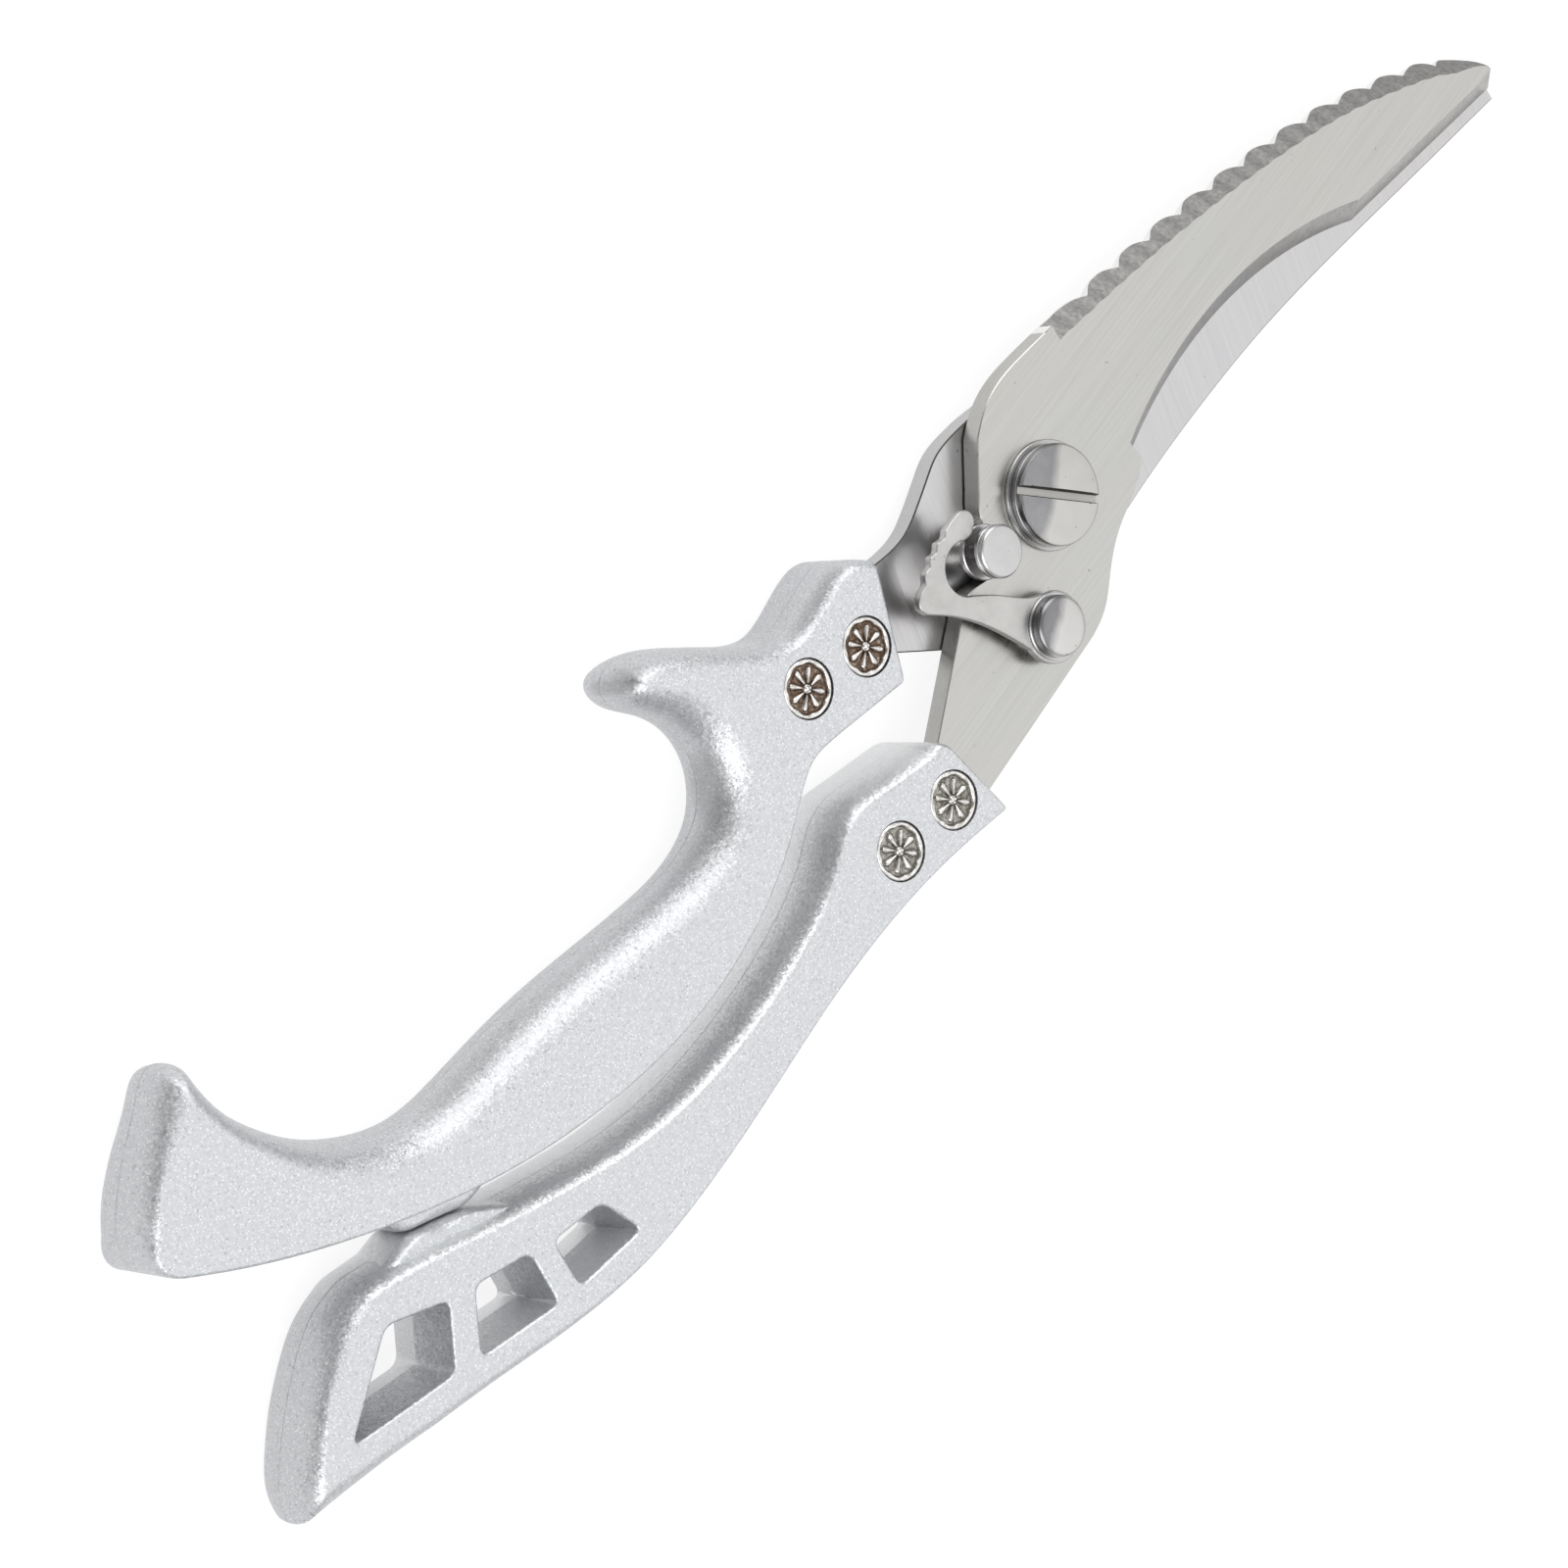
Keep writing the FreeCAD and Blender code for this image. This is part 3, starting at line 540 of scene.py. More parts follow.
# ---- handles ----
# The rows of a handle's lines are x, y, how far its rounding reaches in over the face,
# and how far it reaches down from the face.
SHARP = (0.45, 0.45)
THUMB_GRIP = [
    (-138.2, 26, 4.2, 6.2), (-137.8, 19.4, 3, 6.2), (-135.6, 14.3, 3.2, 6),
    (-131.8, 9, 4, 5.9), (-126.5, 4.6, 5, 6), (-120, 1.7, 5.8, 6),
    (-112, 1.2, 6, 6), (-100, 1.4, 6, 6), (-88, 0.5, 6, 6),
    (-78, -0.4, 6, 6), (-70.5, -0.1, 6, 6), (-65.2, 2.2, 6, 6),
    (-62.5, 6, 5.8, 6), (-61.9, 10, 5.2, 6), (-63.2, 14.2, 4.2, 5.9),
    (-65.6, 17.4, 3.4, 5.7), (-67.2, 19.6, 3.2, 5.6), (-67.3, 21.8, 3.2, 5.6),
    (-65.9, 23.4, 3.2, 5.6), (-63.6, 23.5, 3.2, 5.4), (-61, 22.7, 3, 5.2),
    (-57, 20.4, 2.8, 4.8), (-52, 16.6, 2.6, 4.2), (-48, 13.8, 2.4, 3.8),
    (-44, 12.3, 2.2, 3.4), (-40, 12.8, 2.1, 3.2), (-36, 13.9, 2, 3),
    (-32, 14, 1.8, 2.6), (-28.6, 11.4, 1, 1.2),
]
THUMB_BOTTOM = [
    (-157.4, 11.2), (-148, 4.7), (-138, -1), (-126, -6.5), (-112, -11.2),
    (-97, -13.9), (-84, -14.1), (-72, -11.9), (-60, -6.6), (-54.5, -2.9),
    (-51.2, -1.3), (-47.5, -1.15),
]
THUMB_BUTT = [
    (-157.4, 11.2, 3, 6.2), (-155.7, 14.9, 2.4, 6.2), (-152.4, 18.9, 2.4, 6.2),
    (-148.6, 22.2, 3.2, 6.2), (-144.6, 25.2, 4.4, 6.2), (-140.9, 27.3, 4.6, 6.2),
    (-138.2, 26, 4.2, 6.2),
]
FINGER_TOP = [
    (-34.3, -11.2), (-40, -10.3), (-46, -9.3), (-50, -8.9), (-53.5, -10),
    (-57.5, -12.6), (-63, -15.1), (-71, -17.4), (-80, -18.95), (-90, -19.45),
    (-100, -18.45), (-110, -15.9), (-120, -12.8), (-130, -9.4), (-137.4, -7.5),
]
FINGER_BUTT = [
    (-137.4, -7.5, 2.4, 6.2), (-142, -8.2, 2.8, 6.2), (-147.3, -11, 2.6, 6.2),
    (-152, -14.7, 2.4, 6.2), (-155.8, -18.4, 2.6, 6.2), (-158.4, -21.8, 3.4, 6.2),
    (-159.2, -24.9, 4.2, 6.2),
]
FINGER_BOTTOM = [
    (-159.2, -24.9), (-150, -25.3), (-140, -26.7), (-130, -28.5), (-118, -30.8),
    (-107, -31.6), (-95, -30.7), (-80, -28.1), (-66, -25.4), (-54, -24),
    (-44, -23.8), (-31.4, -24.8),
]
FINGER_RIDGE = (2.0, 6.2)
FINGER_FOOT = {-159.2: (4.2, 6.2), -150.0: (2.4, 3.6), -140.0: (1.6, 1.8), -130.0: (1.5, 1.5),
               -118.0: (1.2, 1.2)}
THUMB_RIVETS = {"front": (-36.5, 4.5), "rear": (-46.65, 6.0)}
FINGER_RIVETS = {"front": (-37.6, -18.5), "rear": (-47.9, -18.15)}
RIVET_SEAT_RADIUS = 3.78
RIVET_SEAT_DEPTH = 1.2
RIVET_BORE_RADIUS = 2.5
WINDOWS = (
    ((-149.8, -20.4), (-138.3, -12.9), (-130.3, -16.4), (-134.9, -23.4)),
    ((-130.9, -24.4), (-126.5, -17.5), (-118.7, -19.7), (-119.3, -26.9)),
    ((-115.7, -27.4), (-115.3, -20.8), (-107.6, -21.9), (-105.3, -28)),
)
WINDOW_DRAFT = 1.2
WINDOW_LIP = 0.45
PARTING_WIDTH = 0.12             # half the width of the mould line round a handle
PARTING_DEPTH = 0.05


def rounded(points, rounding):
    return [(*point, *rounding) for point in points]


def rounding_height(loop, points, half):
    """How high the face stands at each point, inside a loop of x, y, reach and drop."""
    lowest = np.full(len(points), half, float)
    ahead = np.roll(loop, -1, axis=0)
    for start in range(0, len(points), 500):
        some = points[start:start + 500]
        far, share = distances(loop, some)
        reach = loop[:, 2] * (1 - share) + ahead[:, 2] * share
        drop = loop[:, 3] * (1 - share) + ahead[:, 3] * share
        t = np.clip(1 - far / reach, 0, 1)
        height = half - drop + drop * np.sqrt(1 - t ** 2)
        lowest[start:start + 500] = np.minimum(half, height.min(1))
    return lowest


def face_points(loop, holes, spacing=1.7, steps=9):
    """Points over a face: rings down its rounding, then a plain grid inside them."""
    way = inward(loop)
    points = []
    for turn in np.linspace(0, math.pi / 2, steps + 1)[1:]:
        reach = loop[:, 2] * (1 - math.cos(turn))
        ring = loop[:, :2] + way * reach[:, None]
        nearest = distances(loop, ring)[0].min(1)
        points.append(ring[inside(loop, ring) & (nearest > 0.96 * reach)])
    open_grid = grid(loop[:, :2].min(0), loop[:, :2].max(0), spacing)
    open_grid = open_grid[inside(loop, open_grid)]
    far = distances(loop, open_grid)[0]
    reach = loop[far.argmin(1), 2]
    points.append(open_grid[far.min(1) > reach + spacing * 0.4])
    points = np.concatenate(points)
    for hole in holes:
        points = points[~inside(hole, points)]
        points = points[distances(hole, points)[0].min(1) > 0.35]
    return points


def rounded_form(shell, front, back, half, holes=()):
    """Adds a form whose front and back faces round over into the wall between them."""
    levels = []
    for side, loop in ((1, front), (-1, back)):
        levels.append(half - loop[:, 3])
        heights = [side * levels[-1]] + [side * half] * len(holes)
        shell.cap([loop, *holes], heights, side > 0, extra=face_points(loop, holes),
                  height=lambda p: side * rounding_height(loop, p, half))
    groove = moved_in(front, PARTING_DEPTH)
    shell.wall([
        at_height(front, -levels[1]), at_height(front, -PARTING_WIDTH), at_height(groove, 0),
        at_height(front, PARTING_WIDTH), at_height(front, levels[0]),
    ])


def seat_rings(at):
    """Circles down the stepped hole of a rivet, from the front face to the back."""
    shoulder = HANDLE_HALF - RIVET_SEAT_DEPTH
    steps = [(RIVET_SEAT_RADIUS, HANDLE_HALF), (RIVET_SEAT_RADIUS, shoulder),
             (RIVET_BORE_RADIUS, shoulder), (RIVET_BORE_RADIUS, -shoulder),
             (RIVET_SEAT_RADIUS, -shoulder), (RIVET_SEAT_RADIUS, -HANDLE_HALF)]
    return [at_height(circle(at, radius), z) for radius, z in steps]


def window_rings(corners):
    """Loops down a window that narrows from each face to its waist."""
    mouth = polygon(corners, 1.3)
    rings = []
    for turn in (0, 30, 60, 90):
        angle = math.radians(turn)
        out = -WINDOW_LIP * (1 - math.sin(angle))
        z = HANDLE_HALF - WINDOW_LIP * (1 - math.cos(angle))
        rings.append(at_height(moved_in(mouth, out), z))
    for share in (0.35, 0.7, 0.98):
        z = (HANDLE_HALF - WINDOW_LIP) * (1 - share)
        rings.append(at_height(moved_in(mouth, WINDOW_DRAFT * share), z))
    mirrored = [ring * (1, 1, -1) for ring in rings[::-1]]
    return rings + mirrored


def wedge(shell, corners, half, rounding=1.9):
    """Adds a stop lug: a block with its long edges well rounded."""
    loop = polygon(corners, 1.3, 0.5)
    middle = loop.mean(0)
    reach = np.hypot(*(loop - middle).T)
    rings = []
    for a in np.radians([90, 75, 60, 45, 30, 15, 0]):
        shrink = rounding * (1 - math.cos(a))
        ring = middle + (loop - middle) * (1 - shrink / reach)[:, None]
        rings.append(at_height(ring, half - rounding * (1 - math.sin(a))))
    shell.wall([ring * (1, 1, -1) for ring in rings] + rings[::-1])
    for side in (1, -1):
        shell.cap([rings[0][:, :2]], [side * half], side > 0)


def handle(name, body, look, front, back, rivets, windows, lug, lug_half=4.5):
    shell = Shell()
    hole_rings = [seat_rings(at) for at in rivets.values()]
    hole_rings += [window_rings(corners) for corners in windows]
    rounded_form(shell, front, back, HANDLE_HALF, [rings[0] for rings in hole_rings])
    for rings in hole_rings:
        through_hole(shell, rings)
    wedge(shell, lug, lug_half)
    return shell.make(name, body, "cast_aluminium", [look], [name])


def thumb_handle():
    front_low, front_high = (-34.4, -2.5, *SHARP), (-28.6, 11.4, 1.0, 1.2)
    under = (-47.5, -1.15, *SHARP)
    loop = joined([
        spline(THUMB_GRIP),
        straight(front_high, front_low),
        straight(front_low, under),
        spline(rounded(THUMB_BOTTOM, SHARP)[::-1]),
        spline(THUMB_BUTT),
    ], [1.0, 0.7, 1.6, 4.2, 1.2])
    lug = [(-132.0, -3.3), (-129.0, -7.6), (-120.5, -10.9), (-113.0, -10.1), (-118.0, -3.0)]
    return handle("thumb_handle", "thumb_half", ALUMINIUM, loop, loop, THUMB_RIVETS, (), lug)


def finger_handle():
    loop = joined([
        spline(rounded(FINGER_TOP, FINGER_RIDGE)),
        spline(FINGER_BUTT),
        spline([(x, y, *FINGER_FOOT.get(x, SHARP)) for x, y in FINGER_BOTTOM]),
        straight((-31.4, -24.8, *SHARP), (-34.3, -11.2, *SHARP)),
    ], [1.6, 0.9, 0.7, 2.4])
    lug = [(-136.0, -9.2), (-128.4, -7.95), (-120.6, -11.0), (-115.0, -15.2), (-122.0, -16.5)]
    back = loop.copy()
    flatter = np.clip((loop[:, 0] + 138) / 10, 0, 1)   # the back is only rounded at the butt
    for column, most in ((2, 1.3), (3, 2.2)):
        back[:, column] += (np.minimum(loop[:, column], most) - loop[:, column]) * flatter
    # the finger handle's aluminium has painted sheen on its walls facing +Y
    return handle("finger_handle", "finger_half", PAINTED_SHEEN_ALUMINIUM, loop, back, FINGER_RIVETS,
                  WINDOWS, lug)


# ---- blade plates ----
# The rows of a plate's lines are x, y of its outline, x, y of the line where its face
# begins, and how high above the meeting plane the edge stands.
CHAMFER = 0.12
THICKNESS = PLATE - PLATE_GAP
EDGE_LAND = 0.1
BEVEL_WIDTH = 2.7
BACK_BEVEL_WIDTH = 2.1
BACK_LAND = 0.5
BEVEL_START = 0.8
BEVEL_RUN_OUT = 7.0
TOOTH_COUNT = 11
TOOTH_PITCH = 6.46
TOOTH_DEPTH = 0.85
FIRST_TOOTH = 9.0
BACK_OF_FRONT_BLADE = [
    (13, 16.15), (31.8, 15.5), (46, 14.4), (61.8, 12.4), (74.3, 9.9), (85.8, 6.3),
    (91.8, 3.8), (95.4, 1.3), (97.4, -0.6), (98.3, -1.9),
]
NOTCH_ARC_RADIUS = 65.3
NOTCH_ARC_CENTRE = (42.5, -65.2)
PLAIN, GROUND, EDGE, PAINTED_SHADE_MARK, CUT = range(5)  # which of a plate's materials a face has
FOOT = 0.16                      # chamfer where the plates meet; along plain edges it is painted near-black as shade in the crevice


def plain(line):
    """A stretch of outline with only a small chamfer."""
    nothing = np.full((len(line), 2), np.nan)
    return np.column_stack([line[:, :2], nothing, np.full(len(line), THICKNESS - CHAMFER)])


def plain_sides(*corners):
    """The straight plain stretches from corner to corner."""
    return [plain(straight(a, b)) for a, b in zip(corners, corners[1:])]


def ground(line, inner):
    """A stretch of cutting edge, ground off from the inner line down to the edge."""
    return np.column_stack([line[:, :2], inner[:, :2], np.full(len(line), EDGE_LAND)])


def plate_shell(lines, side, holes=()):
    """A plate from its outline; side is 1 in front of the meeting plane and -1 behind it."""
    loop = counter_clockwise(np.concatenate([line[:-1] for line in lines]))
    is_plain = np.isnan(loop[:, 2])
    loop[is_plain, 2:4] = moved_in(loop, CHAMFER)[is_plain]
    cut = loop[:, 4] <= EDGE_LAND
    marks = np.where(is_plain & np.roll(is_plain, -1), PLAIN, np.where(cut, CUT, GROUND))
    edge_marks = np.where(marks == PLAIN, PLAIN, EDGE)
    # a plain edge's foot chamfer gets the near-black steel: painted shade in the crevice between the
    # plates
    foot_marks = np.where(marks == PLAIN, PAINTED_SHADE_MARK, EDGE)
    foot = moved_in(loop, FOOT)
    rings = [
        at_height(foot, side * PLATE_GAP),
        at_height(loop, side * (PLATE_GAP + np.minimum(FOOT, loop[:, 4] * 0.5))),
        at_height(loop, side * (PLATE_GAP + loop[:, 4])),
        at_height(loop[:, 2:4], side * PLATE),
    ]
    shell = Shell()
    kinds = [foot_marks, edge_marks, marks]
    if side < 0:
        rings, kinds = rings[::-1], kinds[::-1]
    shell.wall(rings, kinds)
    circles = [circle(at, radius, 64) for at, radius in holes]
    for ring in (rings[0], rings[-1]):
        shell.cap([ring, *circles], [ring[0, 2]] * (1 + len(circles)), ring is rings[-1])
    for loop in circles:
        through_hole(shell, [at_height(loop, max(r[0, 2] for r in rings)),
                             at_height(loop, min(r[0, 2] for r in rings))])
    return shell


def blade(name, body, face_steel, lines, side, holes):
    looks = [face_steel, BEVEL_STEEL, EDGE_STEEL, PAINTED_SHADE_STEEL, CUT_STEEL]
    return plate_shell(lines, side, holes).make(name, body, "blade_steel", looks, [name], 25)


def toothed_back():
    """The scalloped back and the bevel behind it, from the plate's shoulder to its tip."""
    curve = spline(BACK_OF_FRONT_BLADE, 0.05)
    t = lengths(curve)
    stations = np.concatenate([
        [0, BEVEL_START, BEVEL_START + 0.03], np.arange(BEVEL_START + 0.3, t[-1] - 0.15, 0.3),
        [t[-1]]])
    way = np.gradient(curve, t, axis=0)
    x, y, way_x, way_y = (np.interp(stations, t, column) for column in (*curve.T, *way.T))
    size = np.hypot(way_x, way_y)
    inward_x, inward_y = way_y / size, -way_x / size
    pitch = (stations - FIRST_TOOTH) / TOOTH_PITCH
    sunk = TOOTH_DEPTH * (2 * (pitch % 1) - 1) ** 2
    sunk = np.where(pitch < 0, TOOTH_DEPTH * np.clip(1 + pitch * FIRST_TOOTH / 6, 0, 1) ** 2, sunk)
    last = FIRST_TOOTH + TOOTH_COUNT * TOOTH_PITCH
    run_out = np.clip(1 - (stations - last) / (0.2 * (t[-1] - last)), 0, 1)
    sunk = np.where(pitch > TOOTH_COUNT, TOOTH_DEPTH * run_out ** 2, sunk)
    width = BACK_BEVEL_WIDTH * np.clip((t[-1] - stations) / BEVEL_RUN_OUT, 0.08, 1)
    width += 0.07 * np.sin(stations * 1.9) * (width > 2)
    slope = (PLATE - BACK_LAND) / BACK_BEVEL_WIDTH
    width = np.where(stations <= BEVEL_START, CHAMFER, np.maximum(width, sunk + 0.1))
    height = THICKNESS - slope * (width - sunk)
    height = np.where(stations <= BEVEL_START, THICKNESS - CHAMFER, height)
    return np.column_stack([
        x + inward_x * sunk, y + inward_y * sunk, x + inward_x * width, y + inward_y * width,
        height])


def arc_y(x):
    return NOTCH_ARC_CENTRE[1] + math.sqrt(NOTCH_ARC_RADIUS ** 2 - (x - NOTCH_ARC_CENTRE[0]) ** 2)


def beside(line, distance):
    """The line moved to its left by a distance, with its corners kept sharp."""
    run = np.diff(line[:, :2], axis=0)
    run /= np.hypot(*run.T)[:, None]
    way = np.concatenate([run[:1], run]) + np.concatenate([run, run[-1:]])
    return line[:, :2] + np.column_stack([-way[:, 1], way[:, 0]]) * (
        2 * distance / (way ** 2).sum(1))[:, None]


def front_blade():
    heel, corner, tip_edge = (15.5, arc_y(15.5)), (66.6, arc_y(66.6)), (98.6, -5.2)
    back = toothed_back()
    tip = straight((98.3, -1.9), tip_edge, 0.5)
    edge = np.concatenate([straight(tip_edge, corner)[:-1],
                           arc(corner, (41.0, arc_y(41.0)), heel)])
    inner = beside(edge, -BEVEL_WIDTH)
    last_face = back[-1, 2:4]
    inner[:5] = last_face + (inner[5] - last_face) * np.linspace(0, 1, 6)[:5, None]
    tip_rows = ground(tip, np.tile(last_face, (len(tip), 1)))
    tip_rows[:, 4] = np.linspace(THICKNESS - 0.35, EDGE_LAND, len(tip))
    lines = [
        back, tip_rows, ground(edge, inner),
        plain(spline([heel, (13.3, -7.5), (7.5, -10.2), (2.6, -13.6), (-1.6, -17.1),
                      (-5, -18.4)])),
        *plain_sides((-5, -18.4), (-30, -22.8), (-57, -22), (-57, -13.6),
                     (-33.8, -13.6), (-19, -2.35)),
        plain(spline([(-19, -2.35), (-17.4, -1.8), (-14.2, -2.2), (-11.9, -1.6), (-11.1, 0.2)])),
        plain(arc((-11.1, 0.2), (-10.6, 3.8), (-8.8, 6.8))),
        *plain_sides((-8.8, 6.8), (-4.7, 12.3)),
        plain(spline([(-4.7, 12.3), (-2, 14.2), (2, 15.7), (7, 16.15), (13, 16.15)])),
    ]
    holes = [((0, 0), 4.0), (LATCH_PIVOT, 2.0)] + [(at, 2.5) for at in FINGER_RIVETS.values()]
    return blade("front_blade", "finger_half", FACE_STEEL, lines, 1, holes)


def rear_blade():
    heel, bevel_start, tip = (15.0, 7.2), 2.0, (98.6, -4.7)
    edge = arc(heel, (57.0, 4.3), tip)
    inner = beside(edge, -BEVEL_WIDTH)
    inner[:, 1] = np.maximum(inner[:, 1], -6.6)
    inner[:, 0] = np.minimum(inner[:, 0], 98.4)
    unground = edge[:, 0] < heel[0] + bevel_start
    first = np.count_nonzero(unground)
    lines = [
        plain(edge[:first + 1]),
        ground(edge[first:] + (0.02, 0), inner[first:]),
        *plain_sides(tip, (98.7, -6.9)),
        plain(spline([(98.7, -6.9), (80, -6.65), (60, -6.35), (45, -6.65), (30, -8),
                      (18, -9.7), (8.5, -11.5)])),
        plain(spline([(8.5, -11.5), (3, -13.2), (-3, -14.2), (-10, -13.4), (-17, -10.4),
                      (-23.6, -6.1)])),
        *plain_sides((-23.6, -6.1), (-31, -0.8), (-56, 2.9), (-56, 11.2), (-31, 9.3)),
        plain(spline([(-31, 9.3), (-24.5, 8.5), (-19.5, 8.6), (-15.5, 10.2), (-12.2, 11.9),
                      (-9.4, 13.2), (-6, 13.7), (-2.2, 13.7)])),
        plain(spline([(-2.2, 13.7), (5, 12.7), (11, 10.2), heel])),
    ]
    holes = [((0, 0), 3.0), (STUD_AT, 1.6)] + [(at, 2.5) for at in THUMB_RIVETS.values()]
    return blade("rear_blade", "thumb_half", REAR_STEEL, lines, -1, holes)


# ---- rivets, screw, stud and latch ----
STUD_AT = (-13.3, 1.2)
STUD_HEAD_RADIUS = 3.35
STUD_SHANK_RADIUS = 1.98
SCREW_HEAD_RADIUS = 6.45
SCREW_SLOT_WIDTH = 1.35
SLOT_FLOOR_WIDTH = 0.9
SCREW_SLOT_DEPTH = 0.95
SCREW_SLOT_ANGLE = -42.0
SCREW_END = -5.6
HEAD_BOTTOM = PLATE + 0.55
HEAD_HEIGHT = 2.1
NUT_WASHER = 0.5                 # thickness of the washer behind the plates
NUT_CORNER_RADIUS = 5.6
LATCH_BOTTOM = 4.53
LATCH_TOP = LATCH_BOTTOM + 1.24
LATCH_WASHER = 0.38              # thickness of the washer under the latch rivet's head
LATCH_RELEASE = 8.0              # degrees from hooked over the stud to just clear of it
RIVET_HEAD_RADIUS = 3.65
ROSETTE_PETALS = 8


def smoothstep(x, low, high):
    t = np.clip((x - low) / (high - low), 0, 1)
    return t * t * (3 - 2 * t)


def rosette_relief(radius, angle):
    """Height of the pressed flower under its rim, and how deep the stain lies in it."""
    border = 2.98 + 0.2 * np.abs(np.cos(ROSETTE_PETALS * angle / 2))
    rim = smoothstep(radius, border - 0.1, border + 0.03)
    petal_angle = (angle * ROSETTE_PETALS / (2 * math.pi) + 0.5) % 1 - 0.5
    aside = np.abs(petal_angle) * 2 * math.pi / ROSETTE_PETALS * radius
    along = np.clip((radius - 0.75) / 1.9, 0, 1)
    half_width = 0.1 + 0.38 * along ** 0.9
    half_width *= np.sqrt(np.clip(1 - ((along - 0.74) / 0.26).clip(0, 1) ** 2, 0, 1))
    across = aside / np.maximum(half_width, 1e-3)
    inside_petal = (radius > 0.75) & (radius < 2.65) & (across < 1)
    petal = np.where(inside_petal, np.sqrt(np.clip(1 - across ** 2, 0, 1)), 0)
    boss = 1 - smoothstep(radius, 0.5, 0.62)
    boss -= 0.45 * np.exp(-((radius - 0.32) / 0.06) ** 2)
    height = np.maximum(rim, np.maximum(0.9 * petal, boss))
    around = (across < 1.0 + 0.16 / np.maximum(half_width, 0.1)) & (radius > 0.7) & (radius < 2.8)
    outline = around & ~inside_petal
    outline |= (radius > border - 0.2) & (radius < border - 0.05)
    outline |= (radius > 0.6) & (radius < 0.74)
    stain = np.clip(1.0 - 1.3 * height, 0, 1)
    return height * 0.42, np.where(outline, 1.25, stain)


def rivet_post(name, body, at, look):
    """The flowered front head of a handle rivet, and the post behind it."""
    face = HANDLE_HALF - 0.1
    floor = face - 0.45
    count = 144
    angle = np.linspace(0, 2 * math.pi, count, endpoint=False)
    rings, traits = [], []
    for radius, z in ((0, -3.5), (1.4, -3.5), (1.6, -3.3), (1.6, HANDLE_HALF - 1.2),
                      (RIVET_HEAD_RADIUS, HANDLE_HALF - 1.2), (RIVET_HEAD_RADIUS, face - 0.25),
                      (RIVET_HEAD_RADIUS - 0.07, face - 0.07), (RIVET_HEAD_RADIUS - 0.25, face),
                      (RIVET_HEAD_RADIUS - 0.36, face - 0.01)):
        rings.append(at_height(circle(at, max(radius, 1e-3), count), z))
        traits.append(np.full(count, 1.25 if radius == RIVET_HEAD_RADIUS else 0.1))
    for radius in np.linspace(RIVET_HEAD_RADIUS - 0.42, 0.001, 44):
        height, stain = rosette_relief(np.full(count, radius), angle)
        rings.append(at_height(circle(at, radius, count), floor + height))
        traits.append(stain)
    shell = Shell()
    shell.wall(rings, 0, traits)
    return shell.make(name, body, "rivet_steel", [look], [name], 60)


def rivet_sleeve(name, body, at):
    back, shoulder = 0.1 - HANDLE_HALF, 1.2 - HANDLE_HALF
    r = RIVET_HEAD_RADIUS
    return turned_piece(name, body, "rivet_steel", RIVET_STEEL, at, [
        (0, back + 0.16), (0.5, back + 0.16), (0.75, back), (r - 0.9, back), (r - 0.8, back + 0.1),
        (r - 0.68, back + 0.1), (r - 0.6, back), (r - 0.3, back), (r - 0.08, back + 0.1),
        (r, back + 0.3), (r, shoulder), (2.45, shoulder), (2.45, 4.85), (2.3, 5.0),
        (1.62, 5), (1.62, -3.6), (0, -3.6)], 72, 40)


def cut_away(piece, cutter):
    """Takes the cutter's shape out of the piece."""
    boolean = piece.modifiers.new("cut", "BOOLEAN")
    boolean.object = cutter
    boolean.operation = "DIFFERENCE"
    boolean.solver = "EXACT"
    piece.modifiers.move(len(piece.modifiers) - 1, 0)
    with bpy.context.temp_override(object=piece, active_object=piece):
        bpy.ops.object.modifier_apply(modifier="cut")
    bpy.data.objects.remove(cutter)


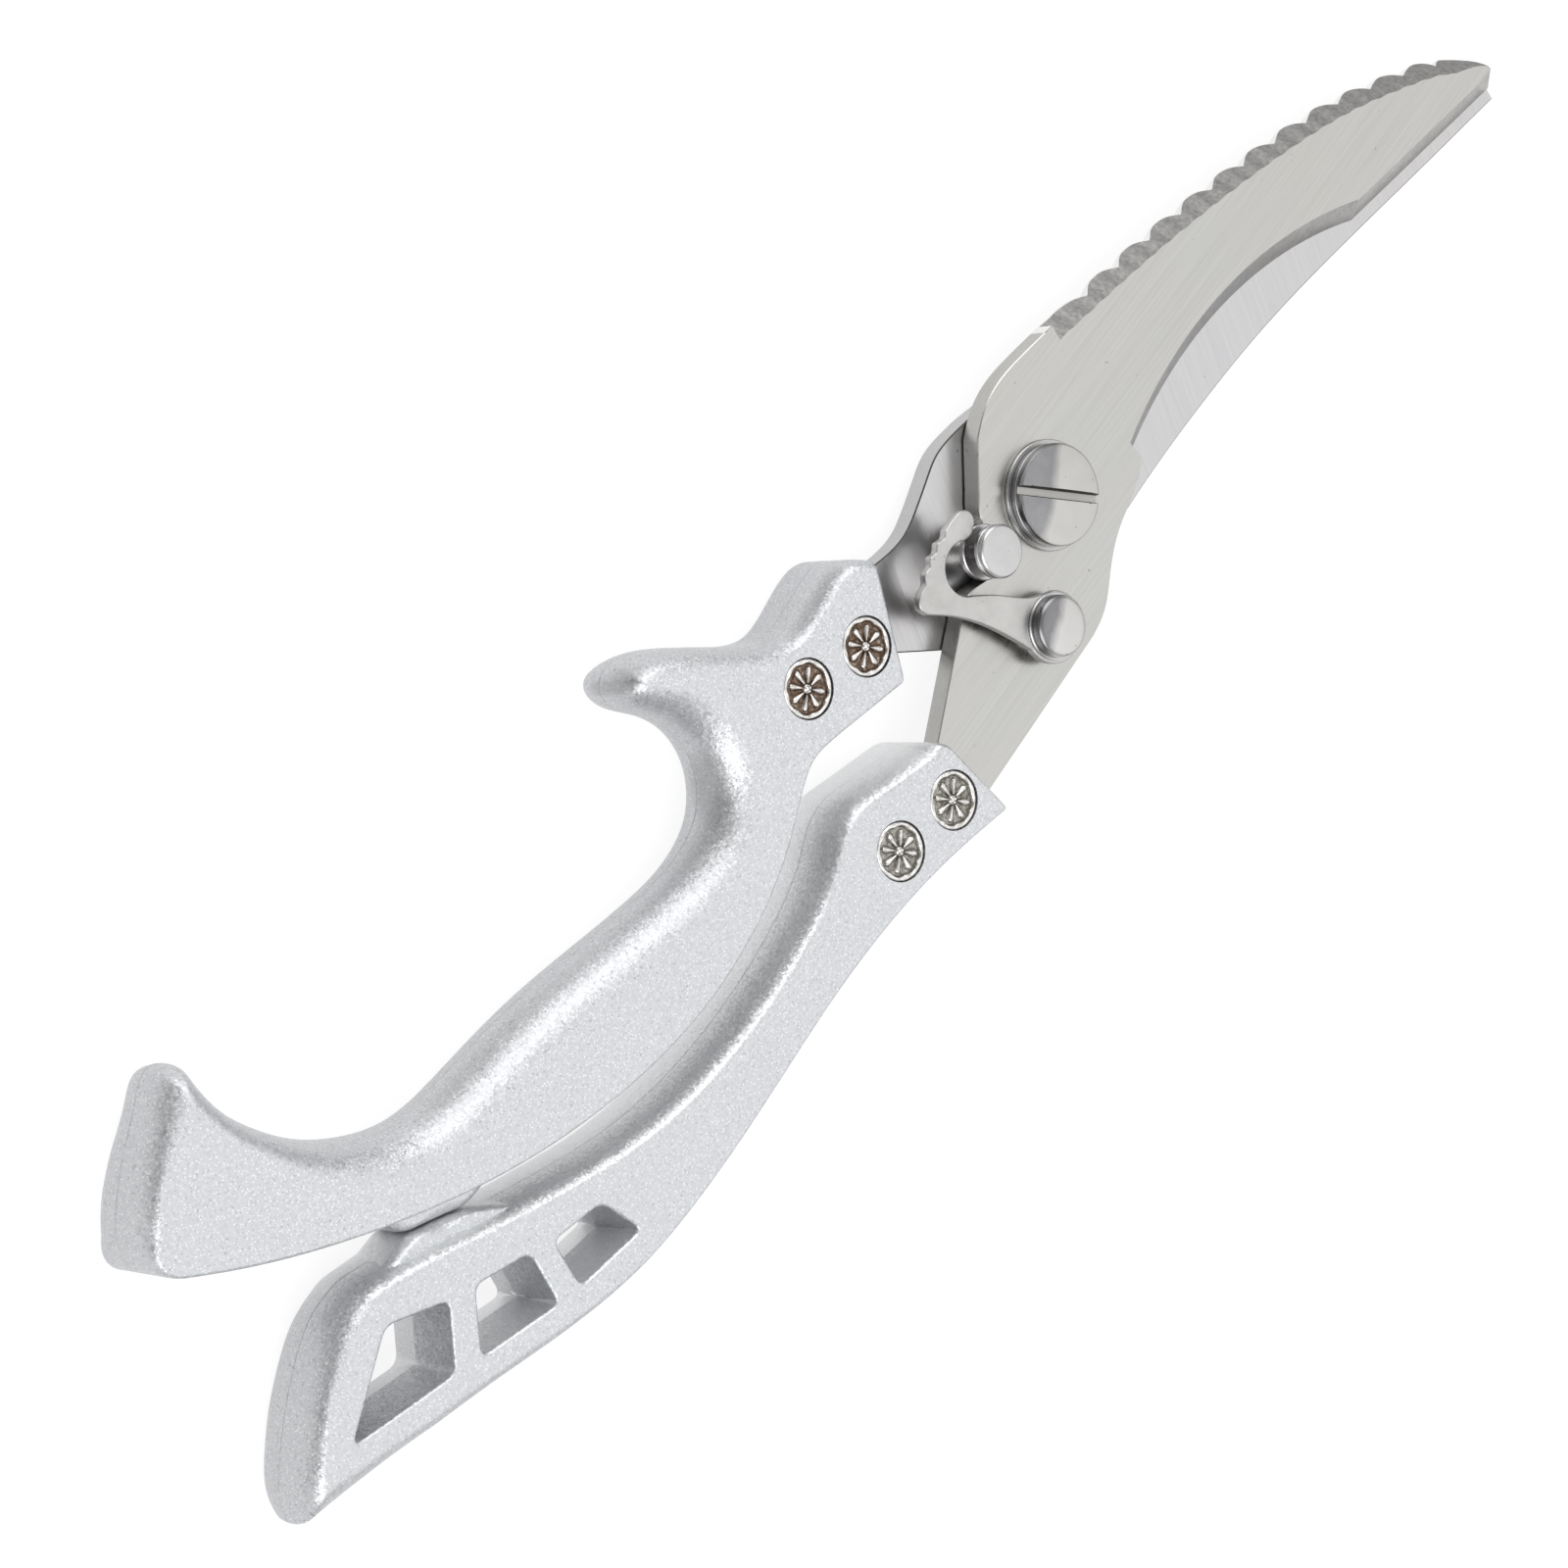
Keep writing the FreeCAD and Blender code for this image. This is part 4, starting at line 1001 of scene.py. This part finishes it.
def pivot_screw():
    top = HEAD_BOTTOM + HEAD_HEIGHT
    r = SCREW_HEAD_RADIUS
    shell = Shell()
    dome = [(r * math.sin(a), top - 0.12 + 0.36 * (math.cos(a) - math.cos(math.radians(80))))
            for a in np.radians([80, 68, 56, 44, 32, 22, 12, 5, 0])]
    dome = [(radius * (r - 0.5) / dome[0][0], z) for radius, z in dome]
    turned(shell, (0, 0), [
        (0, SCREW_END), (2.5, SCREW_END), (2.9, SCREW_END + 0.4), (3.0, SCREW_END + 0.6),
        (3, -PLATE_GAP), (3.95, -PLATE_GAP), (3.95, HEAD_BOTTOM), (r - 0.12, HEAD_BOTTOM),
        (r, HEAD_BOTTOM + 0.12), (r, HEAD_BOTTOM + 0.72), (r - 0.12, HEAD_BOTTOM + 0.8),
        (r - 0.12, HEAD_BOTTOM + 0.9), (r, HEAD_BOTTOM + 1.0), (r, top - 0.45),
        (r - 0.1, top - 0.25), (r - 0.28, top - 0.15), *dome], 128)
    piece = shell.make("pivot_screw", "thumb_half", "screw_steel",
                       [SCREW_STEEL_PAINTED_REFLECTION, PAINTED_SHADE_STEEL, SLOT_STEEL], ["pivot_screw"], 30)
    half = SCREW_SLOT_WIDTH / 2
    slot = Shell()
    loops = []
    for aside in (SLOT_FLOOR_WIDTH / 2, half, half + 0.25):
        corners = [(-9, -aside), (9, -aside), (9, aside), (-9, aside)]
        loops.append(turned_about(polygon(corners, 0, 5), (0, 0), SCREW_SLOT_ANGLE))
    floor_z = top - SCREW_SLOT_DEPTH
    slot.wall([at_height(loop, z) for loop, z in zip(loops, (floor_z, top + 0.1, top + 1))])
    slot.cap([loops[0]], [floor_z], False)
    slot.cap([loops[-1]], [top + 1], True)
    mesh = bpy.data.meshes.new("slot")
    mesh.from_pydata(((np.array(slot.points) + PIVOT) / 1000).tolist(), [], slot.faces)
    weld(mesh)
    cut_away(piece, placed("slot", mesh))
    a = math.radians(SCREW_SLOT_ANGLE)
    # the slot's walls get the near-black steel as painted shade, and its floor gets the slot steel
    for face in piece.data.polygons:
        x, y, z = face.center * 1000 - Vector(PIVOT)
        aside = abs(y * math.cos(a) - x * math.sin(a))
        if aside < half + 0.01 and math.hypot(x, y) < r - 0.1 and z > floor_z - 0.05:
            face.material_index = 2 if z < floor_z + 0.05 else 1
    piece.data.set_sharp_from_angle(angle=math.radians(30))
    bevel = piece.modifiers.new("worn_edges", "BEVEL")
    bevel.width = 0.00007
    bevel.segments = 2
    bevel.limit_method = "ANGLE"
    bevel.angle_limit = math.radians(50)
    piece.modifiers.move(len(piece.modifiers) - 1, 0)
    return piece


def ring_piece(name, body, slot, look, at, outer, inner, low, high, edge=0.08):
    return turned_piece(name, body, slot, look, at, [
        (inner, low), (outer - edge, low), (outer, low + edge), (outer, high - edge),
        (outer - edge, high), (inner, high), (inner, low)])


def pivot_nut():
    low, high = SCREW_END + 0.1, -PLATE - NUT_WASHER
    loop = polygon(circle((0, 0), NUT_CORNER_RADIUS, 6), 0.25, 0.4)
    far = np.hypot(*loop.T)
    round_edge = loop * np.minimum(1, 5.0 / far)[:, None]
    chamfer = np.maximum(far - 4.95, 0.02) * 0.6
    shell = Shell()
    bored(shell, [at_height(round_edge, low), at_height(loop, low + chamfer),
                  at_height(loop, high)], circle((0, 0), 3.0, 64))
    return shell.make("pivot_nut", "thumb_half", "screw_steel", [NUT_STEEL], ["pivot_nut"], 25)


def catch_stud():
    r, shank = STUD_HEAD_RADIUS, STUD_SHANK_RADIUS
    return turned_piece("catch_stud", "thumb_half", "stud_steel", STUD_STEEL, STUD_AT, [
        (0, -PLATE + 0.02), (1.4, -PLATE + 0.02), (1.6, -PLATE + 0.15), (1.6, -PLATE_GAP),
        (shank, -PLATE_GAP), (shank, 3.3),
        (3.35, 3.3), (3.5, 3.42), (3.5, 4.08), (3.38, 4.2), (1.1, 4.2), (1.1, 6.05),
        (3.2, 6.05), (r, 6.17), (r, 6.62), (r - 0.1, 6.68), (r - 0.1, 6.76), (r, 6.82),
        (r, 7.2), (r - 0.06, 7.36), (r - 0.25, 7.54), (r - 0.42, 7.585), (1.6, 7.6),
        (0, 7.6)])


def latch_rivet():
    top = LATCH_TOP + LATCH_WASHER
    return turned_piece("latch_rivet", "finger_half", "stud_steel", POLISHED_STEEL_PAINTED_REFLECTION, LATCH_PIVOT, [
        (0, PLATE_GAP + 0.1), (1.8, PLATE_GAP + 0.1), (2.0, PLATE_GAP + 0.3), (2.0, PLATE),
        (2.4, PLATE), (2.4, top), (3.8, top), (3.95, top + 0.12), (3.95, top + 0.85), (3.9, top + 1.02),
        (3.72, top + 1.22), (3.4, top + 1.36), (2.9, top + 1.47), (2.2, top + 1.57),
        (1.4, top + 1.65), (0.7, top + 1.69), (0, top + 1.7)])


def latch():
    """The hook, drawn where it holds the stud and then swung back until it clears it."""
    px, py = LATCH_PIVOT
    crests = [(-22.6, 6.0), (-20.9, 7.1), (-18.9, 7.9), (-16.9, 8.3), (-14.9, 8.5)]
    valleys = [(-21.7, 6.3), (-19.8, 7.2), (-17.9, 7.7), (-15.8, 8.0)]
    ridges = [crests[0]]
    for crest, valley in zip(crests[1:], valleys):
        ridges += [valley, crest]
    step = 0.22
    lines = [
        spline([(-24.3, 3.4), (-24.6, 4.6), (-23.9, 5.6), (-22.6, 6)], step),
        spline(ridges, 0.12),
        spline([(-14.9, 8.5), (-12.6, 8.6), (-10.9, 8.1), (-10.4, 7), (-11, 5.8),
                (-12.4, 5.2)], step),
        spline([(-12.4, 5.2), (-13.3, 5.35), (-14.2, 5.9)], step),
        arc((-14.2, 5.9), (-19, 4), (-17.6, -0.1), step),
        spline([(-17.6, -0.1), (-14.8, -2.8), (-11.2, -6.9), (-7.9, -9)], step),
        arc((-7.9, -9), (px + 4.65, py - 0.6), (px - 0.6, py - 4.65), step),
        arc((px - 0.6, py - 4.65), (px - 3.6, py - 3), (px - 4.65, py + 0.6), step),
        spline([(px - 4.65, py + 0.6), (-17.3, -7.5), (-19.6, -2.6), (-22, 0.8),
                (-24.3, 3.4)], step),
    ]
    loop = turned_about(joined(lines, [0.2, 0.1, 0.2, 0.2, 0.3, 0.2, 0.2, 0.2, 0.2], 3),
                        LATCH_PIVOT, LATCH_RELEASE)
    edge = 0.24
    rings = []
    for z, sign, turns in ((LATCH_BOTTOM, 1, (0, 30, 60, 90)), (LATCH_TOP, -1, (90, 60, 30, 0))):
        for a in np.radians(turns):
            rings.append(at_height(moved_in(loop, edge * (1 - math.sin(a))),
                                   z + sign * edge * (1 - math.cos(a))))
    shell = Shell()
    bored(shell, rings, circle(LATCH_PIVOT, 2.45, 64))
    return shell.make("latch", "latch", "latch_steel", [LATCH_STEEL], ["latch"], 40)


# ---- the room ----
CAMERA_AT = (-328.544, 223.946, 471.619)  # from the pivot
CAMERA_RIGHT = (0.62217, -0.49823, 0.60389)
CAMERA_UP = (0.6293, 0.77713, -0.0072)
LENS = 112.5


def camera():
    data = bpy.data.cameras.new("camera")
    data.lens = LENS
    data.sensor_width = 36.0
    data.clip_start = 0.01
    piece = placed("camera", data)
    right = Vector(CAMERA_RIGHT).normalized()
    up = (Vector(CAMERA_UP) - right * Vector(CAMERA_UP).dot(right)).normalized()
    turn = Matrix((right, up, right.cross(up))).transposed()
    piece.matrix_world = Matrix.Translation((PIVOT + CAMERA_AT) / 1000) @ turn.to_4x4()
    bpy.context.scene.camera = piece


def floor():
    size, drop = 3.0, 0.0004
    mesh = bpy.data.meshes.new("floor")
    corners = [(x * size, y * size, -drop) for x, y in ((-1, -1), (1, -1), (1, 1), (-1, 1))]
    mesh.from_pydata(corners, [], [(0, 1, 2, 3)])
    table = Look("light_table", 0.9, 0.0)
    for name, value in (("Base Color", (0.2, 0.2, 0.2, 1)), ("Specular IOR Level", 0.0),
                        ("Emission Color", (1, 1, 1, 1)), ("Emission Strength", 0.84)):
        table.shader.inputs[name].default_value = value
    mesh.materials.append(table.material)
    piece = placed("floor", mesh)


def from_angles(azimuth, elevation):
    """A direction, from its angle round from +X and its height over the floor."""
    a, e = math.radians(azimuth), math.radians(elevation)
    return (math.cos(a) * math.cos(e), math.sin(a) * math.cos(e), math.sin(e))


def studio(base, *lamps):
    """A pale room with soft lamps: (direction, strength, where it fades out, where it is full)."""
    world = bpy.data.worlds.new("studio")
    bpy.context.scene.world = world
    world.use_nodes = True
    tree = world.node_tree
    way = new_node(tree, "TexCoord").outputs["Generated"]
    total = base
    for direction, strength, outer, inner in lamps:
        dot = new_node(tree, "VectorMath", {0: way, 1: Vector(direction).normalized()},
                       operation="DOT_PRODUCT")
        spread = new_node(tree, "MapRange", {
            "Value": dot.outputs["Value"], "From Min": math.cos(math.radians(outer)),
            "From Max": math.cos(math.radians(inner)), "To Max": strength,
        }, interpolation_type="SMOOTHSTEP")
        total = new_node(tree, "Math", {0: total, 1: spread.outputs["Result"]}).outputs[0]
    background = tree.nodes["Background"]
    background.inputs["Color"].default_value = (1, 1, 1, 1)
    tree.links.new(total, background.inputs["Strength"])


# ---- everything, in its place ----
bpy.context.scene.view_settings.view_transform = "Standard"
camera()
floor()
studio(
    0.82,
    (from_angles(60, 36), 2.5, 32, 11),
    (from_angles(-172, 46), 3.2, 30, 10),
    (from_angles(-40, 52), 0.7, 42, 28),
    (from_angles(0, 15), -0.2, 60, 20),
    (from_angles(112, 6), -0.55, 58, 18),
    (from_angles(-150, 5), -0.35, 45, 15),
)

# the thumb handle's aluminium has painted shade on its walls near the hook and the horn; the finger
# handle's has painted sheen on its walls facing +Y and a little painted shade
ALUMINIUM = cast_aluminium("cast_aluminium", 0.0, 0.45)
PAINTED_SHEEN_ALUMINIUM = cast_aluminium("painted_sheen_aluminium", 0.55, 0.1)
FACE_STEEL = brushed_steel("brushed_steel", 8, (0.405, 0.4, 0.385), (0.455, 0.45, 0.435),
                           pitch=2600.0, depth=0.000008)
REAR_STEEL = brushed_steel("rear_steel", 78, (0.45, 0.445, 0.45), (0.5, 0.495, 0.5),
                           pitch=2600.0, depth=0.000008)
BEVEL_STEEL = brushed_steel("ground_steel", 80, (0.17, 0.165, 0.16), (0.31, 0.305, 0.3),
                            pitch=1800.0, depth=0.00002, roughness=(0.4, 0.5))
CUT_STEEL = brushed_steel("cut_steel", 80, (0.26, 0.255, 0.25), (0.38, 0.375, 0.37),
                          pitch=1800.0, depth=0.00002)
EDGE_STEEL = rolled_steel("edge_steel", (0.78, 0.775, 0.77), 0.3, 0.05)
# near-black steel: painted shade for the crevice between the plates and for the walls of the screw slot
PAINTED_SHADE_STEEL = rolled_steel("painted_shade_steel", (0.07, 0.065, 0.06), 0.5, 0.2)
LATCH_STEEL = rolled_steel("stamped_steel", (0.43, 0.425, 0.415), 0.36)
# the screw head and the latch rivet's head have a painted reflection: one side is painted light and the
# other side dark
SCREW_STEEL_PAINTED_REFLECTION = turned_steel_painted_reflection("screw_steel", (0, 0), 1.6, (0.45, 0.44, 0.425),
                              (0.19, 0.19, 0.195))
SLOT_STEEL = rolled_steel("slot_steel", (0.36, 0.35, 0.335), 0.4, 0.15)
NUT_STEEL = rolled_steel("nut_steel", (0.4, 0.395, 0.39), 0.28, 0.08)
STUD_STEEL = rolled_steel("stud_steel", (0.45, 0.445, 0.445), 0.26, 0.06)
POLISHED_STEEL_PAINTED_REFLECTION = turned_steel_painted_reflection("polished_steel_painted_reflection", LATCH_PIVOT, 1.2, (0.5, 0.49, 0.48),
                                 (0.17, 0.17, 0.175))
RIVET_STEEL = rolled_steel("rivet_steel", (0.45, 0.445, 0.44), 0.3, 0.1)
SPRING_STEEL = brushed_steel("spring_steel", 90, (0.4, 0.4, 0.39), (0.6, 0.59, 0.58))
BROWN_ROSETTE = worn_rosette("brown_rosette", (0.075, 0.048, 0.032), (0.21, 0.155, 0.12))
GREY_ROSETTE = worn_rosette("grey_rosette", (0.12, 0.11, 0.095), (0.36, 0.35, 0.32))

thumb_handle()
finger_handle()
front_blade()
rear_blade()
pivot_screw()
ring_piece("screw_washer", "thumb_half", "screw_steel", NUT_STEEL, (0, 0), 7.0, 3.96,
           PLATE + 0.03, HEAD_BOTTOM)
ring_piece("nut_washer", "thumb_half", "screw_steel", NUT_STEEL, (0, 0), 6.6, 3.01,
           -PLATE - NUT_WASHER, -PLATE)
pivot_nut()
catch_stud()
latch_rivet()
ring_piece("latch_spacer", "finger_half", "stud_steel", STUD_STEEL, LATCH_PIVOT, 3.7, 2.41,
           PLATE, LATCH_BOTTOM - 0.03)
ring_piece("latch_washer", "finger_half", "stud_steel", STUD_STEEL, LATCH_PIVOT, 4.3, 2.41,
           LATCH_TOP + 0.03, LATCH_TOP + LATCH_WASHER)
latch()
for side, rivets, look in (("thumb", THUMB_RIVETS, BROWN_ROSETTE),
                           ("finger", FINGER_RIVETS, GREY_ROSETTE)):
    for place, at in rivets.items():
        name = f"{side}_{place}_rivet"
        rivet_post(f"{name}_post", f"{side}_half", at, look)
        rivet_sleeve(f"{name}_sleeve", f"{side}_half", at)
wires = frame["nodes"]["torsion_spring"].data
wires.materials.clear()
wires.materials.append(SPRING_STEEL)
